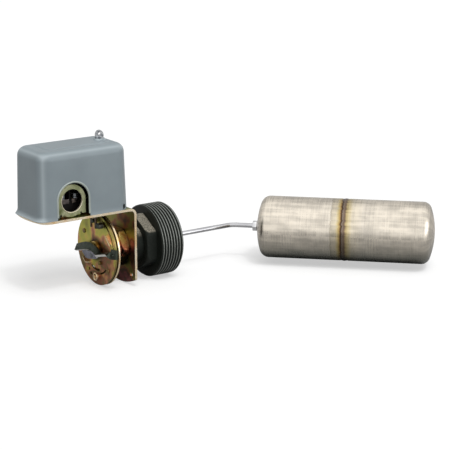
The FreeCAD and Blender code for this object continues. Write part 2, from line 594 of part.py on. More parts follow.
def make_float():
    v, r, half = FreeCAD.Vector, FLOAT_R, FLOAT_LENGTH / 2
    left, right = float_end(-1), float_end(1)
    weld = v(-WELD_HALF_WIDTH, r, 0), v(0, r + WELD_RISE, 0), v(WELD_HALF_WIDTH, r, 0)
    edges = [Part.Arc(*left[:3]).toShape(), Part.Arc(*left[2:]).toShape(), Part.makeLine(left[4], weld[0]),
             Part.Arc(*weld).toShape(), Part.makeLine(weld[2], right[4]),
             Part.Arc(right[4], right[3], right[2]).toShape(), Part.Arc(right[2], right[1], right[0]).toShape(),
             Part.makeLine(right[0], left[0])]
    body = Part.Face(Part.Wire(edges)).revolve(v(0, 0, 0), v(1, 0, 0), 360)
    boss = rod_x(-half - FLOAT_BOSS_OUT, -half + 3.0, FLOAT_BOSS_R)
    socket = rod_x(-half - 2, -half + ROD_IN_FLOAT, ROD_R)
    return along_second_leg(fuse_all([body, boss]).cut(socket), FLOAT_START + half)


def make_float_nut():
    nut = hexagon_x(-4.6, 0, 9.5, 0).cut(rod_x(-6, 1, ROD_R))
    return along_second_leg(nut, FLOAT_START - FLOAT_BOSS_OUT)


# The hub, the two discs and what stands on them
LEVER_SCREW_Z = -5.0
LEVER_SCREW_HEAD_R = 2.5
LEVER_SCREW_SEAT = 2.7


def make_hub():
    flange = rod_x(BACK_DISC_X, BACK_DISC_X + HUB_FLANGE_T, HUB_FLANGE_R)
    barrel = rod_x(FRONT_DISC_X, BACK_DISC_X + SNUG, HUB_R)
    return fuse_all([flange, barrel]).cut(rod_x(HUB_NUT_X, GLAND_X, ROD_R))


def make_disc_spacer():
    return ring_x(FRONT_DISC_BACK_X, BACK_DISC_X - DISC_T, HUB_R, HUB_R + 3.5)


def make_hub_nut():
    bore = rod_x(ROD_START_X - 1, FRONT_DISC_X + 1, ROD_R)
    tapping = rod_x(HUB_NUT_X - 1, HUB_NUT_X + 1.6, 1.0, 0, LEVER_SCREW_Z)
    return rod_x(HUB_NUT_X, FRONT_DISC_X, HUB_NUT_R).cut([bore, tapping])


def arc_slot_x(x0, x1, r, a0, a1, width):
    """Curved slot cutter round the shaft axis, between two angles in degrees from +Y."""
    half, reach = width / 2, 2 * r + width
    steps = max(2, int(abs(a1 - a0) / 12))
    turns = [math.radians(a0 + (a1 - a0) * k / steps) for k in range(steps + 1)]
    wedge = prism_x(x0 - 1, x1 + 1, [(0.0, 0.0)] + [(reach * math.cos(a), reach * math.sin(a)) for a in turns])
    slot = ring_x(x0 - 1, x1 + 1, r - half, r + half).common(wedge)
    ends = [rod_x(x0 - 1, x1 + 1, half, r * math.cos(a), r * math.sin(a)) for a in (turns[0], turns[-1])]
    return slot.multiFuse(ends)


# Each tab is bent out of the disc and seen edge on, as (y, z) points
UPPER_TAB = [(-21.0, 18.5), (-20.2, 18.0), (-28.3, 9.3), (-29.1, 9.8)]
LOWER_TAB = [(22.8, -13.0), (17.4, -17.4), (10.4, -15.9), (10.4, -15.0), (17.2, -16.4), (22.1, -12.4)]
TAB_OUT = 2.8


def make_front_disc():
    x0, x1 = FRONT_DISC_X, FRONT_DISC_BACK_X
    tabs = [prism_x(x0 - TAB_OUT, x0 + 0.6, points) for points in (UPPER_TAB, LOWER_TAB)]
    holes = [(0, DRIVE_PIN_Z, 1.6), (*LOOP_AT, 1.8), (*SPRING_AT, 1.2), (*STOP_AT, 1.2), (11.0, -27.2, 1.6),
             (14.0, -23.3, 1.5)] + [(y, z, RIVET_R) for y, z in DISC_RIVETS]
    tools = [rod_x(x0 - 1, x1 + 1, HUB_R), box(x0 - 1, x1 + 1, 7.0, 10.4, 23.6, 27.0),
             arc_slot_x(x0, x1, 20.8, -64, -103, 2.4), arc_slot_x(x0, x1, 24.8, -133, -106, 1.8),
             arc_slot_x(x0, x1, DISC_R - 3.6, 113, 176, 2.2)]
    tools += [rod_x(x0 - 1, x1 + 1, r, y, z) for y, z, r in holes]
    return fuse_all([rod_x(x0, x1, DISC_R)] + tabs).cut(tools)


def make_back_disc():
    x0, x1, slot_r = BACK_DISC_X - DISC_T, BACK_DISC_X, DISC_R - 10.0
    tools = [rod_x(x0 - 1, x1 + 1, HUB_R), arc_slot_x(x0, x1, slot_r, 28, 52, 5.0),
             arc_slot_x(x0, x1, slot_r, -60, -30, 5.0), rod_x(x0 - 1, x1 + 1, 3.0, -25.0, 0.0)]
    tools += [rod_x(x0 - 1, x1 + 1, RIVET_R, y, z) for y, z in DISC_RIVETS]
    return rod_x(x0, x1, DISC_R).cut(tools)


def make_disc_rivets():
    solids = []
    for y, z in DISC_RIVETS:
        solids.append(fuse_all([rod_x(FRONT_DISC_X, BACK_DISC_X, RIVET_R, y, z),
                                rod_x(FRONT_DISC_X - 0.9, FRONT_DISC_X, 2.4, y, z),
                                rod_x(FRONT_DISC_BACK_X, BACK_DISC_X - DISC_T, 2.6, y, z),
                                rod_x(BACK_DISC_X, BACK_DISC_X + 0.8, 2.4, y, z)]))
    return Part.makeCompound(solids)


def stepped_pin(y, z, out, r, foot_r):
    """Pin standing on the front disc, with a thinner or thicker foot through it."""
    return [rod_x(FRONT_DISC_X - out, FRONT_DISC_X, r, y, z),
            rod_x(FRONT_DISC_X - SNUG, FRONT_DISC_BACK_X, foot_r, y, z)]


def make_drive_pin():
    return fuse_all(stepped_pin(0, DRIVE_PIN_Z, LEVER_TO_DISC + TRIP_LEVER_T + 0.8, DRIVE_PIN_R, 1.6))


def make_loop_pin():
    (y, z), x0 = LOOP_AT, FRONT_DISC_X
    ring = Part.makeTorus(3.4, 0.7, FreeCAD.Vector(x0 - 2.6, y, z), FreeCAD.Vector(1, 0, 0))
    web = box(x0 - 3.0, x0 - 2.2, y - 0.8, y + 0.8, z - 3.3, z)
    return fuse_all(stepped_pin(y, z, 4.2, 1.5, 1.8) + [ring, web])


def make_stop_boss():
    return fuse_all(stepped_pin(*STOP_AT, 2.2, 2.0, 1.2))


def make_spring_post():
    head = rod_x(FRONT_DISC_X - 6.2, FRONT_DISC_X - 5.5, 2.6, *SPRING_AT)
    return fuse_all(stepped_pin(*SPRING_AT, 5.6, 1.9, 1.2) + [head])


def make_coil_spring():
    pitch, turns, wire, r = 1.35, 3.6, 0.5, 2.75
    helix = Part.makeHelix(pitch, pitch * turns, r)
    profile = Part.Wire([Part.makeCircle(wire, FreeCAD.Vector(r, 0, 0), FreeCAD.Vector(0, 1, 0))])
    coil = Part.Wire(helix).makePipeShell([profile], True, True)
    coil.rotate(FreeCAD.Vector(0, 0, 0), FreeCAD.Vector(0, 1, 0), -90)
    coil.translate(FreeCAD.Vector(FRONT_DISC_X - 0.55, *SPRING_AT))
    return coil


# The grey strip across the discs: its blade leans back, a flange hangs from its front edge over the
# hub nut, then it twists edge on and ends in a holed plate. Stations are (y, out, z, half width, lean),
# where out is how far the middle stands off the hub nut and lean is in degrees from upright.
STRIP_HALF_T = 0.75
BLADE = [(27.0, 3.9, -3.0, 3.4, 31), (20.0, 3.4, -0.9, 4.0, 30), (11.5, 3.0, 1.7, 4.1, 27),
         (3.0, 2.4, 3.1, 3.6, 20), (-6.5, 2.4, 1.3, 3.5, 20), (-12.0, 2.8, -0.4, 3.2, 44),
         (-16.5, 3.9, -1.6, 3.4, 84), (-31.0, 4.3, 3.3, 3.6, 84), (-34.5, 4.1, 3.9, 4.6, 44),
         (-37.5, 3.6, 4.2, 5.0, 8), (-48.0, 3.4, 5.6, 4.6, 4)]
FLANGE = [(16.2, 2.6, -4.1, 1.3, -14), (10.6, 2.1, -6.4, 4.6, -14), (-1.0, 2.0, -4.7, 4.2, -14),
          (-7.0, 2.1, -4.5, 3.0, -14), (-12.6, 2.5, -3.3, 1.2, -14)]


def strip_loft(stations):
    wires, t = [], STRIP_HALF_T
    for y, out, z, half, lean in stations:
        x, s, c = HUB_NUT_X - out, math.sin(math.radians(lean)), math.cos(math.radians(lean))
        corners = [(half * s - t * c, half * c + t * s), (half * s + t * c, half * c - t * s),
                   (-half * s + t * c, -half * c - t * s), (-half * s - t * c, -half * c + t * s)]
        points = [FreeCAD.Vector(x + dx, y, z + dz) for dx, dz in corners]
        wires.append(Part.makePolygon(points + points[:1]))
    return Part.makeLoft(wires, True, True)


def make_twist_lever():
    foot = box(HUB_NUT_X - 2.0, HUB_NUT_X, -4.2, 4.2, LEVER_SCREW_Z - 2.6, -ROD_R - SNUG)
    seat = rod_x(HUB_NUT_X - 8, HUB_NUT_X - LEVER_SCREW_SEAT, LEVER_SCREW_HEAD_R + FREE, 0, LEVER_SCREW_Z)
    end_hole = rod_x(HUB_NUT_X - 8, HUB_NUT_X, 1.6, -42.5, 4.4)
    screw_hole = rod_x(HUB_NUT_X - 8, HUB_NUT_X + 1, 1.6 + FREE, 0, LEVER_SCREW_Z)
    return fuse_all([strip_loft(BLADE), strip_loft(FLANGE), foot]).cut([end_hole, screw_hole, seat])


def make_lever_screw():
    x0 = HUB_NUT_X - LEVER_SCREW_SEAT - 0.9
    lengths = [(x0, x0 + 0.9, LEVER_SCREW_HEAD_R), (x0 + 0.8, HUB_NUT_X, 1.6),
               (HUB_NUT_X - SNUG, HUB_NUT_X + 1.6, 1.0)]
    screw = fuse_all([rod_x(start, end, r, 0, LEVER_SCREW_Z) for start, end, r in lengths])
    return screw.cut(box(x0 - 1, x0 + 0.4, -4, 4, LEVER_SCREW_Z - 0.35, LEVER_SCREW_Z + 0.35))


NODES = {
    "bracket": make_bracket,
    "conduit_frame": make_conduit_frame,
    "frame_rivets": make_frame_rivets,
    "contact_block": make_contact_block,
    "terminal_front_a": lambda: make_terminal(TERMINAL_XS[0], -1),
    "terminal_front_b": lambda: make_terminal(TERMINAL_XS[1], -1),
    "terminal_back_a": lambda: make_terminal(TERMINAL_XS[0], 1),
    "terminal_back_b": lambda: make_terminal(TERMINAL_XS[1], 1),
    "terminal_screws": make_terminal_screws,
    "block_screws": make_block_screws,
    "pivot_bracket": make_pivot_bracket,
    "pivot_rivets": make_pivot_rivets,
    "lever_pin": make_lever_pin,
    "cover_stud": make_cover_stud,
    "stud_nut": make_stud_nut,
    "bushing": make_bushing,
    "locknut": make_locknut,
    "jam_nut": make_jam_nut,
    "gland": make_gland,
    "packing_ring_1": lambda: make_packing_ring(0),
    "packing_ring_2": lambda: make_packing_ring(1),
    "packing_ring_3": lambda: make_packing_ring(2),
    "shaft_bush": make_shaft_bush,
    "cover": make_cover,
    "cover_nut": make_cover_nut,
    "rod": make_rod,
    "float": make_float,
    "float_nut": make_float_nut,
    "hub": make_hub,
    "front_disc": make_front_disc,
    "back_disc": make_back_disc,
    "disc_spacer": make_disc_spacer,
    "disc_rivets": make_disc_rivets,
    "hub_nut": make_hub_nut,
    "twist_lever": make_twist_lever,
    "lever_screw": make_lever_screw,
    "drive_pin": make_drive_pin,
    "loop_pin": make_loop_pin,
    "stop_boss": make_stop_boss,
    "spring_post": make_spring_post,
    "coil_spring": make_coil_spring,
    "trip_lever": make_trip_lever,
    "contact_carrier": make_contact_carrier,
    "bridge_front": lambda: make_bridge(-1),
    "bridge_back": lambda: make_bridge(1),
    "bridge_rivets": make_bridge_rivets,
}


def main():
    os.makedirs("parts", exist_ok=True)
    for name, make in NODES.items():
        shape = make()
        bad = [s for s in shape.Solids if s.Volume <= 0]
        print(f"{name:18s} solids {len(shape.Solids)}  valid {shape.isValid()}  volume {shape.Volume:10.1f}"
              f"{'  BAD' if bad or not shape.Solids else ''}")
        shape.exportStep(f"parts/{name}.step")


main()
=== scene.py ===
"""Looks of a screw-in float level switch, built round its fixed solids.

Lengths in the classes are millimetres, and each mesh is written in metres in the part's own frame:
X along the shaft into the tank, Z up, and the conduit holes facing -Y and +Y.
"""

import logging
import math
from abc import ABC, abstractmethod
from dataclasses import dataclass, field
from enum import Enum
from functools import partial
from typing import Callable, Sequence

import bmesh
import bpy
import numpy as np
from bpy.types import Material, NodeSocket, NodeTree, Object, Scene, World
from mathutils import Matrix, Vector

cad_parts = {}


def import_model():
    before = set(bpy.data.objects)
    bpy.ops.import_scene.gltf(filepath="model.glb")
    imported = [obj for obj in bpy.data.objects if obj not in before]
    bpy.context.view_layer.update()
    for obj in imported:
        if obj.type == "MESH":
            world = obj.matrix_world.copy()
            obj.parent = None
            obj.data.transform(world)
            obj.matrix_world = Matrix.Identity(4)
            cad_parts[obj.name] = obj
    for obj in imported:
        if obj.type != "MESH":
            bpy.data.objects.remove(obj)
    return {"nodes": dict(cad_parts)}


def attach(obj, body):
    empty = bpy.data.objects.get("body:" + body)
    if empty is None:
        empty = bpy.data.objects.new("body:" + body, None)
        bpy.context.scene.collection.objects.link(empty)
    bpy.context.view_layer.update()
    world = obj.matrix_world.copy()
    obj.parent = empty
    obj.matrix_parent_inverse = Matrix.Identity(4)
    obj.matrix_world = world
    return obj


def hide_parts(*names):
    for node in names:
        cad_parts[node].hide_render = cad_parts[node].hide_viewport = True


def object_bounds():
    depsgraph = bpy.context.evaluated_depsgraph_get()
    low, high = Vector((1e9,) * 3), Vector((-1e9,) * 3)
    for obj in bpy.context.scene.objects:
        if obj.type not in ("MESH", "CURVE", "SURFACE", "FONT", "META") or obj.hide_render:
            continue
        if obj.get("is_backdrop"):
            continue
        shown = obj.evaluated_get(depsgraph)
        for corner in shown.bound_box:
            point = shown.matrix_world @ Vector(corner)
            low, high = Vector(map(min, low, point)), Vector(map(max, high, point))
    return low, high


MM = 0.001
WELD = 0.002 * MM  # points closer than this are one
GRAIN_DEPTH = 0.1 * MM  # height of the finest bumps
HALF_TURN, FULL_TURN = np.pi, 2 * np.pi
LOG = logging.getLogger("float_switch")
Point = tuple[float, float, float]
Stops = tuple[tuple[float, str], ...]
Inputs = dict[str | int, object]
Add = Callable[..., NodeSocket]


class Slot(Enum):
    """The record's material slots."""

    COVER_PAINT = "cover_paint"
    GOLD = "gold_chromate"
    OLIVE = "olive_chromate"
    ZINC = "bright_zinc"
    GREY_STEEL = "grey_steel"
    SPRING = "spring_steel"
    IRON = "black_iron"
    STAINLESS = "stainless"
    BRASS = "brass"
    MOULDING = "moulding"


class Body(Enum):
    """The rigid bodies that pieces ride on."""

    BASE = "base"
    COVER = "cover"
    NUT = "cover_nut"
    SWING = "swing"
    LEVER = "trip_lever"
    CARRIER = "carrier"


def linear(code: str) -> tuple[float, float, float, float]:
    """Turns an sRGB hex value to a linear colour.

    Args:
        code: the colour as #RRGGBB.

    Returns:
        Red, green, blue and an alpha of 1.
    """
    channels = [int(code[i:i + 2], 16) / 255.0 for i in (1, 3, 5)]
    red, green, blue = [c / 12.92 if c <= 0.04045 else ((c + 0.055) / 1.055) ** 2.4 for c in channels]
    return red, green, blue, 1.0


def per_metre(size_mm: float) -> float:
    """Scale of a pattern whose features are size_mm wide, on coordinates in metres."""
    return 1000.0 / size_mm


def add_node(tree: NodeTree, kind: str, inputs: Inputs | Sequence = (), out: int | str = 0, stops: Stops = (),
             **settings: object) -> NodeSocket | None:
    """Adds one node with its settings and links.

    Args:
        tree: the nodes of one material or world.
        kind: the node's type name, without the word ShaderNode.
        inputs: values or output sockets, by input name or number, or in the node's own order.
        out: the output that is wanted.
        stops: colour stops for a ramp, as position and hex value.
        settings: attributes of the node.

    Returns:
        The wanted output, or None from a node without outputs.
    """
    node = tree.nodes.new("ShaderNode" + kind)
    for key, value in settings.items():
        setattr(node, key, value)
    for key, value in inputs.items() if isinstance(inputs, dict) else enumerate(inputs):
        if isinstance(value, NodeSocket):
            tree.links.new(value, node.inputs[key])
        else:
            node.inputs[key].default_value = value
    for number, (position, code) in enumerate(stops):
        elements = node.color_ramp.elements
        element = elements[number] if number < 2 else elements.new(position)
        element.position, element.color = position, linear(code)
    return node.outputs[out] if node.outputs else None


def blank_nodes(owner: Material | World) -> Add:
    """Empties the nodes of a material or world.

    Args:
        owner: the material or world.

    Returns:
        The function add_node, bound to its nodes.
    """
    owner.use_nodes = True
    owner.node_tree.nodes.clear()
    return partial(add_node, owner.node_tree)


def shaft_radius(add: Add, place: NodeSocket) -> NodeSocket:
    """Distance from the shaft's axis, the length of the place's Y and Z."""
    across = add("VectorMath", (place, (0.0, 1.0, 1.0)), operation="MULTIPLY")
    return add("VectorMath", (across,), "Value", operation="LENGTH")


class Finish(ABC):
    """A surface finish that builds its own node material."""

    @abstractmethod
    def paint(self, add: Add, place: NodeSocket) -> Inputs:
        """Inputs of the principled shader, their patterns read from place, the Object coordinates.

        Args:
            add: adds a node to the material.
            place: the Object coordinates.

        Returns:
            The principled shader's inputs.
        """

    def build(self, name: str) -> Material:
        """Makes the material.

        Args:
            name: the material's name.

        Returns:
            The material, with its shader joined to the output.
        """
        material = bpy.data.materials.new(name)
        add = blank_nodes(material)
        add("OutputMaterial", (add("BsdfPrincipled", self.paint(add, add("TexCoord", out="Object"))),))
        return material


@dataclass(frozen=True)
class StoveEnamel(Finish):
    """Blue-grey stove enamel on drawn steel: a soft even sheen over a faint orange peel, and a painted
    highlight on rounded edges and corners.
    """

    colour: str
    shade: str
    # Colour of the painted highlight on rounded edges and corners
    bend: str = "#C3CED2"
    peel_mm: float = 1.3
    drift_mm: float = 34.0

    def paint(self, add: Add, place: NodeSocket) -> Inputs:
        """Paint with a slow drift of tone, a painted highlight where the sheet bends, and a fine peel.

        Args:
            add: adds a node to the material.
            place: the Object coordinates.

        Returns:
            The principled shader's inputs.
        """
        drift = add("TexNoise", {"Vector": place, "Scale": per_metre(self.drift_mm), "Detail": 3.0})
        tone = add("ValToRGB", (drift,), stops=((0.35, self.shade), (0.65, self.colour)))
        peel = add("TexNoise", {"Vector": place, "Scale": per_metre(self.peel_mm), "Detail": 2.0})
        # Painted highlight: a paler colour on rounded edges and corners
        pale = add("Mix", {0: self.bent(add), 6: tone, 7: linear(self.bend)}, 2, data_type="RGBA")
        return {"Base Color": pale,
                "IOR": 1.5,
                "Roughness": add("MapRange", (drift, 0.3, 0.7, 0.33, 0.42)),
                "Normal": add("Bump", {"Height": peel, "Strength": 0.12, "Distance": 2 * GRAIN_DEPTH})}

    def bent(self, add: Add) -> NodeSocket:
        """Share of the painted highlight: 0 on a flat side, rising on rounded edges and corners, as the
        normal's largest component falls.

        Args:
            add: adds a node to the material.

        Returns:
            The share of painted highlight.
        """
        size = add("VectorMath", (add("TexCoord", out="Normal"),), operation="ABSOLUTE")
        axes = add("SeparateXYZ", (size,)).node.outputs
        most = add("Math", (axes["X"], axes["Y"]), operation="MAXIMUM")
        most = add("Math", (most, axes["Z"]), operation="MAXIMUM")
        return add("MapRange", (most, 0.95, 0.6, 0.0, 0.55), interpolation_type="SMOOTHSTEP")


@dataclass(frozen=True)
class YellowChromate(Finish):
    """Yellow chromate on zinc plate: a thin film whose colour wanders through olive, gold, rose and brown, with
    painted shade round the shaft where asked.
    """

    stops: Stops
    patch_mm: float
    # Shift of colour with height; on the nuts and the hub nut it paints light above and shade below
    lean: float = 0.0
    offset: Point = (0.0, 0.0, 0.0)
    roughness: float = 0.3
    # Painted shade round the shaft: the radius where it is full and where it is gone
    shade_ring: tuple[float, float] | None = None
    grain_mm: float = 0.8

    def paint(self, add: Add, place: NodeSocket) -> Inputs:
        """Noise in patches, bent by a slower one and leaning with height, picks the film's colour.

        Args:
            add: adds a node to the material.
            place: the Object coordinates.

        Returns:
            The principled shader's inputs.
        """
        moved = add("VectorMath", (place, self.offset), operation="ADD")
        slow = add("TexNoise", {"Vector": moved, "Scale": per_metre(2 * self.patch_mm), "Detail": 1.0},
                   "Color")
        bend = add("VectorMath", {0: slow, 3: 0.5 * self.patch_mm * MM}, operation="SCALE")
        bent = add("VectorMath", (moved, bend), operation="ADD")
        film = add("TexNoise", {"Vector": bent, "Scale": per_metre(self.patch_mm), "Detail": 2.0,
                                "Roughness": 0.45})
        lean = add("VectorMath", (place, (0.0, 0.0, self.lean)), "Value", operation="DOT_PRODUCT")
        level = add("Math", (film, lean), operation="ADD")
        colour = add("ValToRGB", (level,), stops=self.stops)
        # Painted shade round the shaft, where asked
        if self.shade_ring:
            colour = self.paint_shade_ring(add, place, colour)
        grain = add("TexNoise", {"Vector": place, "Scale": per_metre(self.grain_mm), "Detail": 2.0})
        return {"Base Color": colour, "Metallic": 0.9,
                "Roughness": add("MapRange", (grain, 0.0, 1.0, self.roughness - 0.06,
                                              self.roughness + 0.14)),
                "Normal": add("Bump", {"Height": grain, "Strength": 0.1, "Distance": GRAIN_DEPTH})}

    def paint_shade_ring(self, add: Add, place: NodeSocket, colour: NodeSocket) -> NodeSocket:
        """Painted shade round the shaft: full inside the first radius, gone past the second.

        Args:
            add: adds a node to the material.
            place: the Object coordinates.
            colour: the film's colour.

        Returns:
            The colour with the painted shade over it.
        """
        inner, outer = self.shade_ring
        share = add("MapRange", (shaft_radius(add, place), inner * MM, outer * MM, 0.85, 0.0),
                    interpolation_type="SMOOTHSTEP")
        return add("Mix", {0: share, 6: colour, 7: linear("#1A150F")}, 2, data_type="RGBA")


@dataclass(frozen=True)
class PlainMetal(Finish):
    """A plated, drawn or turned metal of one colour, with fine tool marks and a duller second tone."""

    colour: str
    worn: str
    roughness: float = 0.3
    grain_mm: float = 0.7
    spread: float = 0.12
    metallic: float = 1.0
    relief: float = 0.12
    patch_mm: float = 5.0

    def paint(self, add: Add, place: NodeSocket) -> Inputs:
        """Two tones mixed by patches, with a grain that roughens and bumps the surface.

        Args:
            add: adds a node to the material.
            place: the Object coordinates.

        Returns:
            The principled shader's inputs.
        """
        patches = add("TexNoise", {"Vector": place, "Scale": per_metre(self.patch_mm), "Detail": 4.0})
        grain = add("TexNoise", {"Vector": place, "Scale": per_metre(self.grain_mm), "Detail": 3.0})
        return {"Base Color": add("ValToRGB", (patches,), stops=((0.35, self.worn), (0.62, self.colour))),
                "Metallic": self.metallic,
                "Roughness": add("MapRange", (grain, 0.0, 1.0, self.roughness,
                                              self.roughness + self.spread)),
                "Normal": add("Bump", {"Height": grain, "Strength": self.relief,
                                       "Distance": GRAIN_DEPTH})}


@dataclass(frozen=True)
class OiledCasting(Finish):
    """Black oiled grey iron: sand-cast grain, a painted highlight that makes it greyer where it faces up, and a
    thread with worn crests.
    """

    colour: str = "#1B1F1B"
    # Tones of the painted highlight on faces that look up, mixed by the cast grain
    grey: tuple[str, str] = ("#4E4B42", "#A39D8E")
    crest: str = "#B9BDB7"
    crest_r: float = 36.4
    crest_depth: float = 0.55
    grain_mm: float = 1.0
    shoulder: tuple[float, float] = (-0.6, -0.2)

    def paint(self, add: Add, place: NodeSocket) -> Inputs:
        """The grain is deep where it was cast, left of the shoulder, and faint on the thread; faces that look
        up there get a paler painted highlight.

        Args:
            add: adds a node to the material.
            place: the Object coordinates.

        Returns:
            The principled shader's inputs.
        """
        left, right = self.shoulder
        x = add("SeparateXYZ", (place,))
        cast = add("MapRange", (x, left * MM, right * MM, 1.0, 0.0))
        grain = add("TexNoise", {"Vector": place, "Scale": per_metre(self.grain_mm), "Detail": 5.0,
                                 "Roughness": 0.65})
        # Painted highlight: faces that look up, in the cast part, take the paler tones
        up = add("SeparateXYZ", (add("TexCoord", out="Normal"),), "Z")
        lying = add("MapRange", (up, 0.45, 0.8), interpolation_type="SMOOTHSTEP")
        painted_top_light = add("Math", (lying, cast), operation="MULTIPLY")
        scale = add("ValToRGB", (grain,), stops=((0.38, self.grey[0]), (0.64, self.grey[1])))
        tone = add("Mix", {0: painted_top_light, 6: linear(self.colour), 7: scale}, 2, data_type="RGBA")
        worn = self.worn_crest(add, place, grain)
        height = add("Math", (cast, 0.85, 0.1), operation="MULTIPLY_ADD")
        return {"Base Color": add("Mix", {0: worn, 6: tone, 7: linear(self.crest)}, 2, data_type="RGBA"),
                "Metallic": worn, "Specular IOR Level": 0.22,
                "Roughness": add("MapRange", (cast, 0.0, 1.0, 0.38, 0.55)),
                "Normal": add("Bump", {"Height": grain, "Strength": height,
                                       "Distance": 3.5 * GRAIN_DEPTH})}

    def worn_crest(self, add: Add, place: NodeSocket, grain: NodeSocket) -> NodeSocket:
        """Share of bare metal: it rises over the last half millimetre of radius, which only the thread has.

        Args:
            add: adds a node to the material.
            place: the Object coordinates.
            grain: the casting's grain, a noise.

        Returns:
            The share of bare metal.
        """
        crest = add("MapRange", (shaft_radius(add, place), (self.crest_r - self.crest_depth) * MM,
                                 self.crest_r * MM, 0.0, 0.85))
        patchy = add("MapRange", (grain, 0.3, 0.6, 0.6, 1.0))
        return add("Math", (crest, patchy), operation="MULTIPLY")


@dataclass(frozen=True)
class TintedStainless(Finish):
    """Rolled stainless sheet: streaks round the can, smears along it, straw and blue tints at the weld, and
    painted shade on its lower side.
    """

    centre: Point
    turn_deg: float
    radius: float
    colour: str = "#F6ECDC"
    streak: str = "#CFC7BA"
    # Colour of the painted shade on the can's lower side
    film: str = "#62655F"
    sizes: tuple[tuple[float, float], ...] = ((1.4, 45.0), (60.0, 3.5), (16.0, 12.0))
    # Tints across 40 mm, clean at both ends and darkest beside the bead in the middle
    tints: Stops = ((0.0, "#FFFFFF"), (1.0, "#FFFFFF"), (0.165, "#FFFFFF"), (0.18, "#DAD8D2"),
                    (0.22, "#EAE8E0"), (0.31, "#F4F1E6"), (0.36, "#F0E6BE"), (0.40, "#D9C288"),
                    (0.43, "#8E7458"), (0.455, "#4A3C36"), (0.48, "#A79C96"), (0.52, "#8A7A74"),
                    (0.545, "#A0917C"), (0.58, "#DCCFA4"), (0.63, "#F3EAC8"), (0.72, "#FCFAF2"))

    def paint(self, add: Add, place: NodeSocket) -> Inputs:
        """Reads the length along the can and the angle round it, so the streaks follow the rolled sheet, and
        paints shade on its lower side.

        Args:
            add: adds a node to the material.
            place: the Object coordinates.

        Returns:
            The principled shader's inputs.
        """
        at = tuple(c * MM for c in self.centre)
        turn = (0.0, 0.0, math.radians(self.turn_deg))
        local = add("Mapping", {"Vector": place, "Location": at, "Rotation": turn},
                    vector_type="TEXTURE")
        axes = add("SeparateXYZ", (local,)).node.outputs
        angle = add("Math", (axes["Z"], axes["Y"]), operation="ARCTAN2")
        sheet, smear, cloud = [self.streaks(add, axes["X"], angle, *size) for size in self.sizes]
        lines = add("Math", (sheet, 0.7, smear), operation="MULTIPLY_ADD")
        mixed = add("Math", (cloud, 1.3, lines), operation="MULTIPLY_ADD")
        even = add("Math", (mixed, 1.0 / 3.0), operation="MULTIPLY")
        steel = add("ValToRGB", (even,), stops=((0.42, self.streak), (0.58, self.colour)))
        # Painted shade: the steel darkens towards the bottom of the can
        low = add("MapRange", (axes["Z"], -self.radius * MM, 0.12 * self.radius * MM, 1.0, 0.0),
                  interpolation_type="SMOOTHSTEP")
        shaded_below = add("Mix", {0: low, 6: steel, 7: linear(self.film)}, 2, data_type="RGBA")
        tint = self.weld_tint(add, axes["X"], smear)
        colour = add("Mix", {0: 1.0, 6: shaded_below, 7: tint}, 2, data_type="RGBA", blend_type="MULTIPLY")
        return {"Base Color": colour,
                "Metallic": 1.0,
                "Roughness": add("MapRange", (sheet, 0.3, 0.7, 0.24, 0.36)),
                "Normal": add("Bump", {"Height": sheet, "Strength": 0.15, "Distance": GRAIN_DEPTH})}

    def streaks(self, add: Add, x: NodeSocket, angle: NodeSocket, along_mm: float,
                round_mm: float) -> NodeSocket:
        """Noise stretched over the sheet, with features along_mm by round_mm.

        Args:
            add: adds a node to the material.
            x: length along the can.
            angle: angle round it.
            along_mm: size of a streak along the can.
            round_mm: its size round the can.

        Returns:
            The noise.
        """
        a = add("Math", (x, per_metre(along_mm)), operation="MULTIPLY")
        b = add("Math", (angle, self.radius / round_mm), operation="MULTIPLY")
        flat = add("CombineXYZ", (a, b))
        return add("TexNoise", {"Vector": flat, "Scale": 1.0, "Detail": 3.0})

    def weld_tint(self, add: Add, x: NodeSocket, slow: NodeSocket) -> NodeSocket:
        """Colour that multiplies the steel: clean far off, then straw, brown and blue-grey at the bead.

        Args:
            add: adds a node to the material.
            x: length from the bead's middle.
            slow: noise that makes the bands wander.

        Returns:
            The colour to multiply by.
        """
        wobble = add("Math", (slow, 4 * MM, -2 * MM), operation="MULTIPLY_ADD")
        moved = add("Math", (x, wobble), operation="ADD")
        share = add("MapRange", (moved, -20 * MM, 20 * MM))
        return add("ValToRGB", (share,), stops=self.tints)


@dataclass(frozen=True)
class Moulding(Finish):
    """A dull moulded or rubbery surface with a fine grain."""

    colour: str
    roughness: float = 0.6
    flow_mm: float = 8.0
    grain_mm: float = 0.5

    def paint(self, add: Add, place: NodeSocket) -> Inputs:
        """One dark tone with a fine grain and broad flow marks.

        Args:
            add: adds a node to the material.
            place: the Object coordinates.

        Returns:
            The principled shader's inputs.
        """
        flow = add("TexNoise", {"Vector": place, "Scale": per_metre(self.flow_mm), "Detail": 2.0})
        lift = add("MapRange", (flow, 0.0, 1.0, 0.7, 1.3))
        grain = add("TexNoise", {"Vector": place, "Scale": per_metre(self.grain_mm), "Detail": 2.0})
        return {"Base Color": add("HueSaturation", {"Color": linear(self.colour), "Value": lift}),
                "Roughness": self.roughness, "Specular IOR Level": 0.2,
                "Normal": add("Bump", {"Height": grain, "Strength": 0.2, "Distance": GRAIN_DEPTH})}


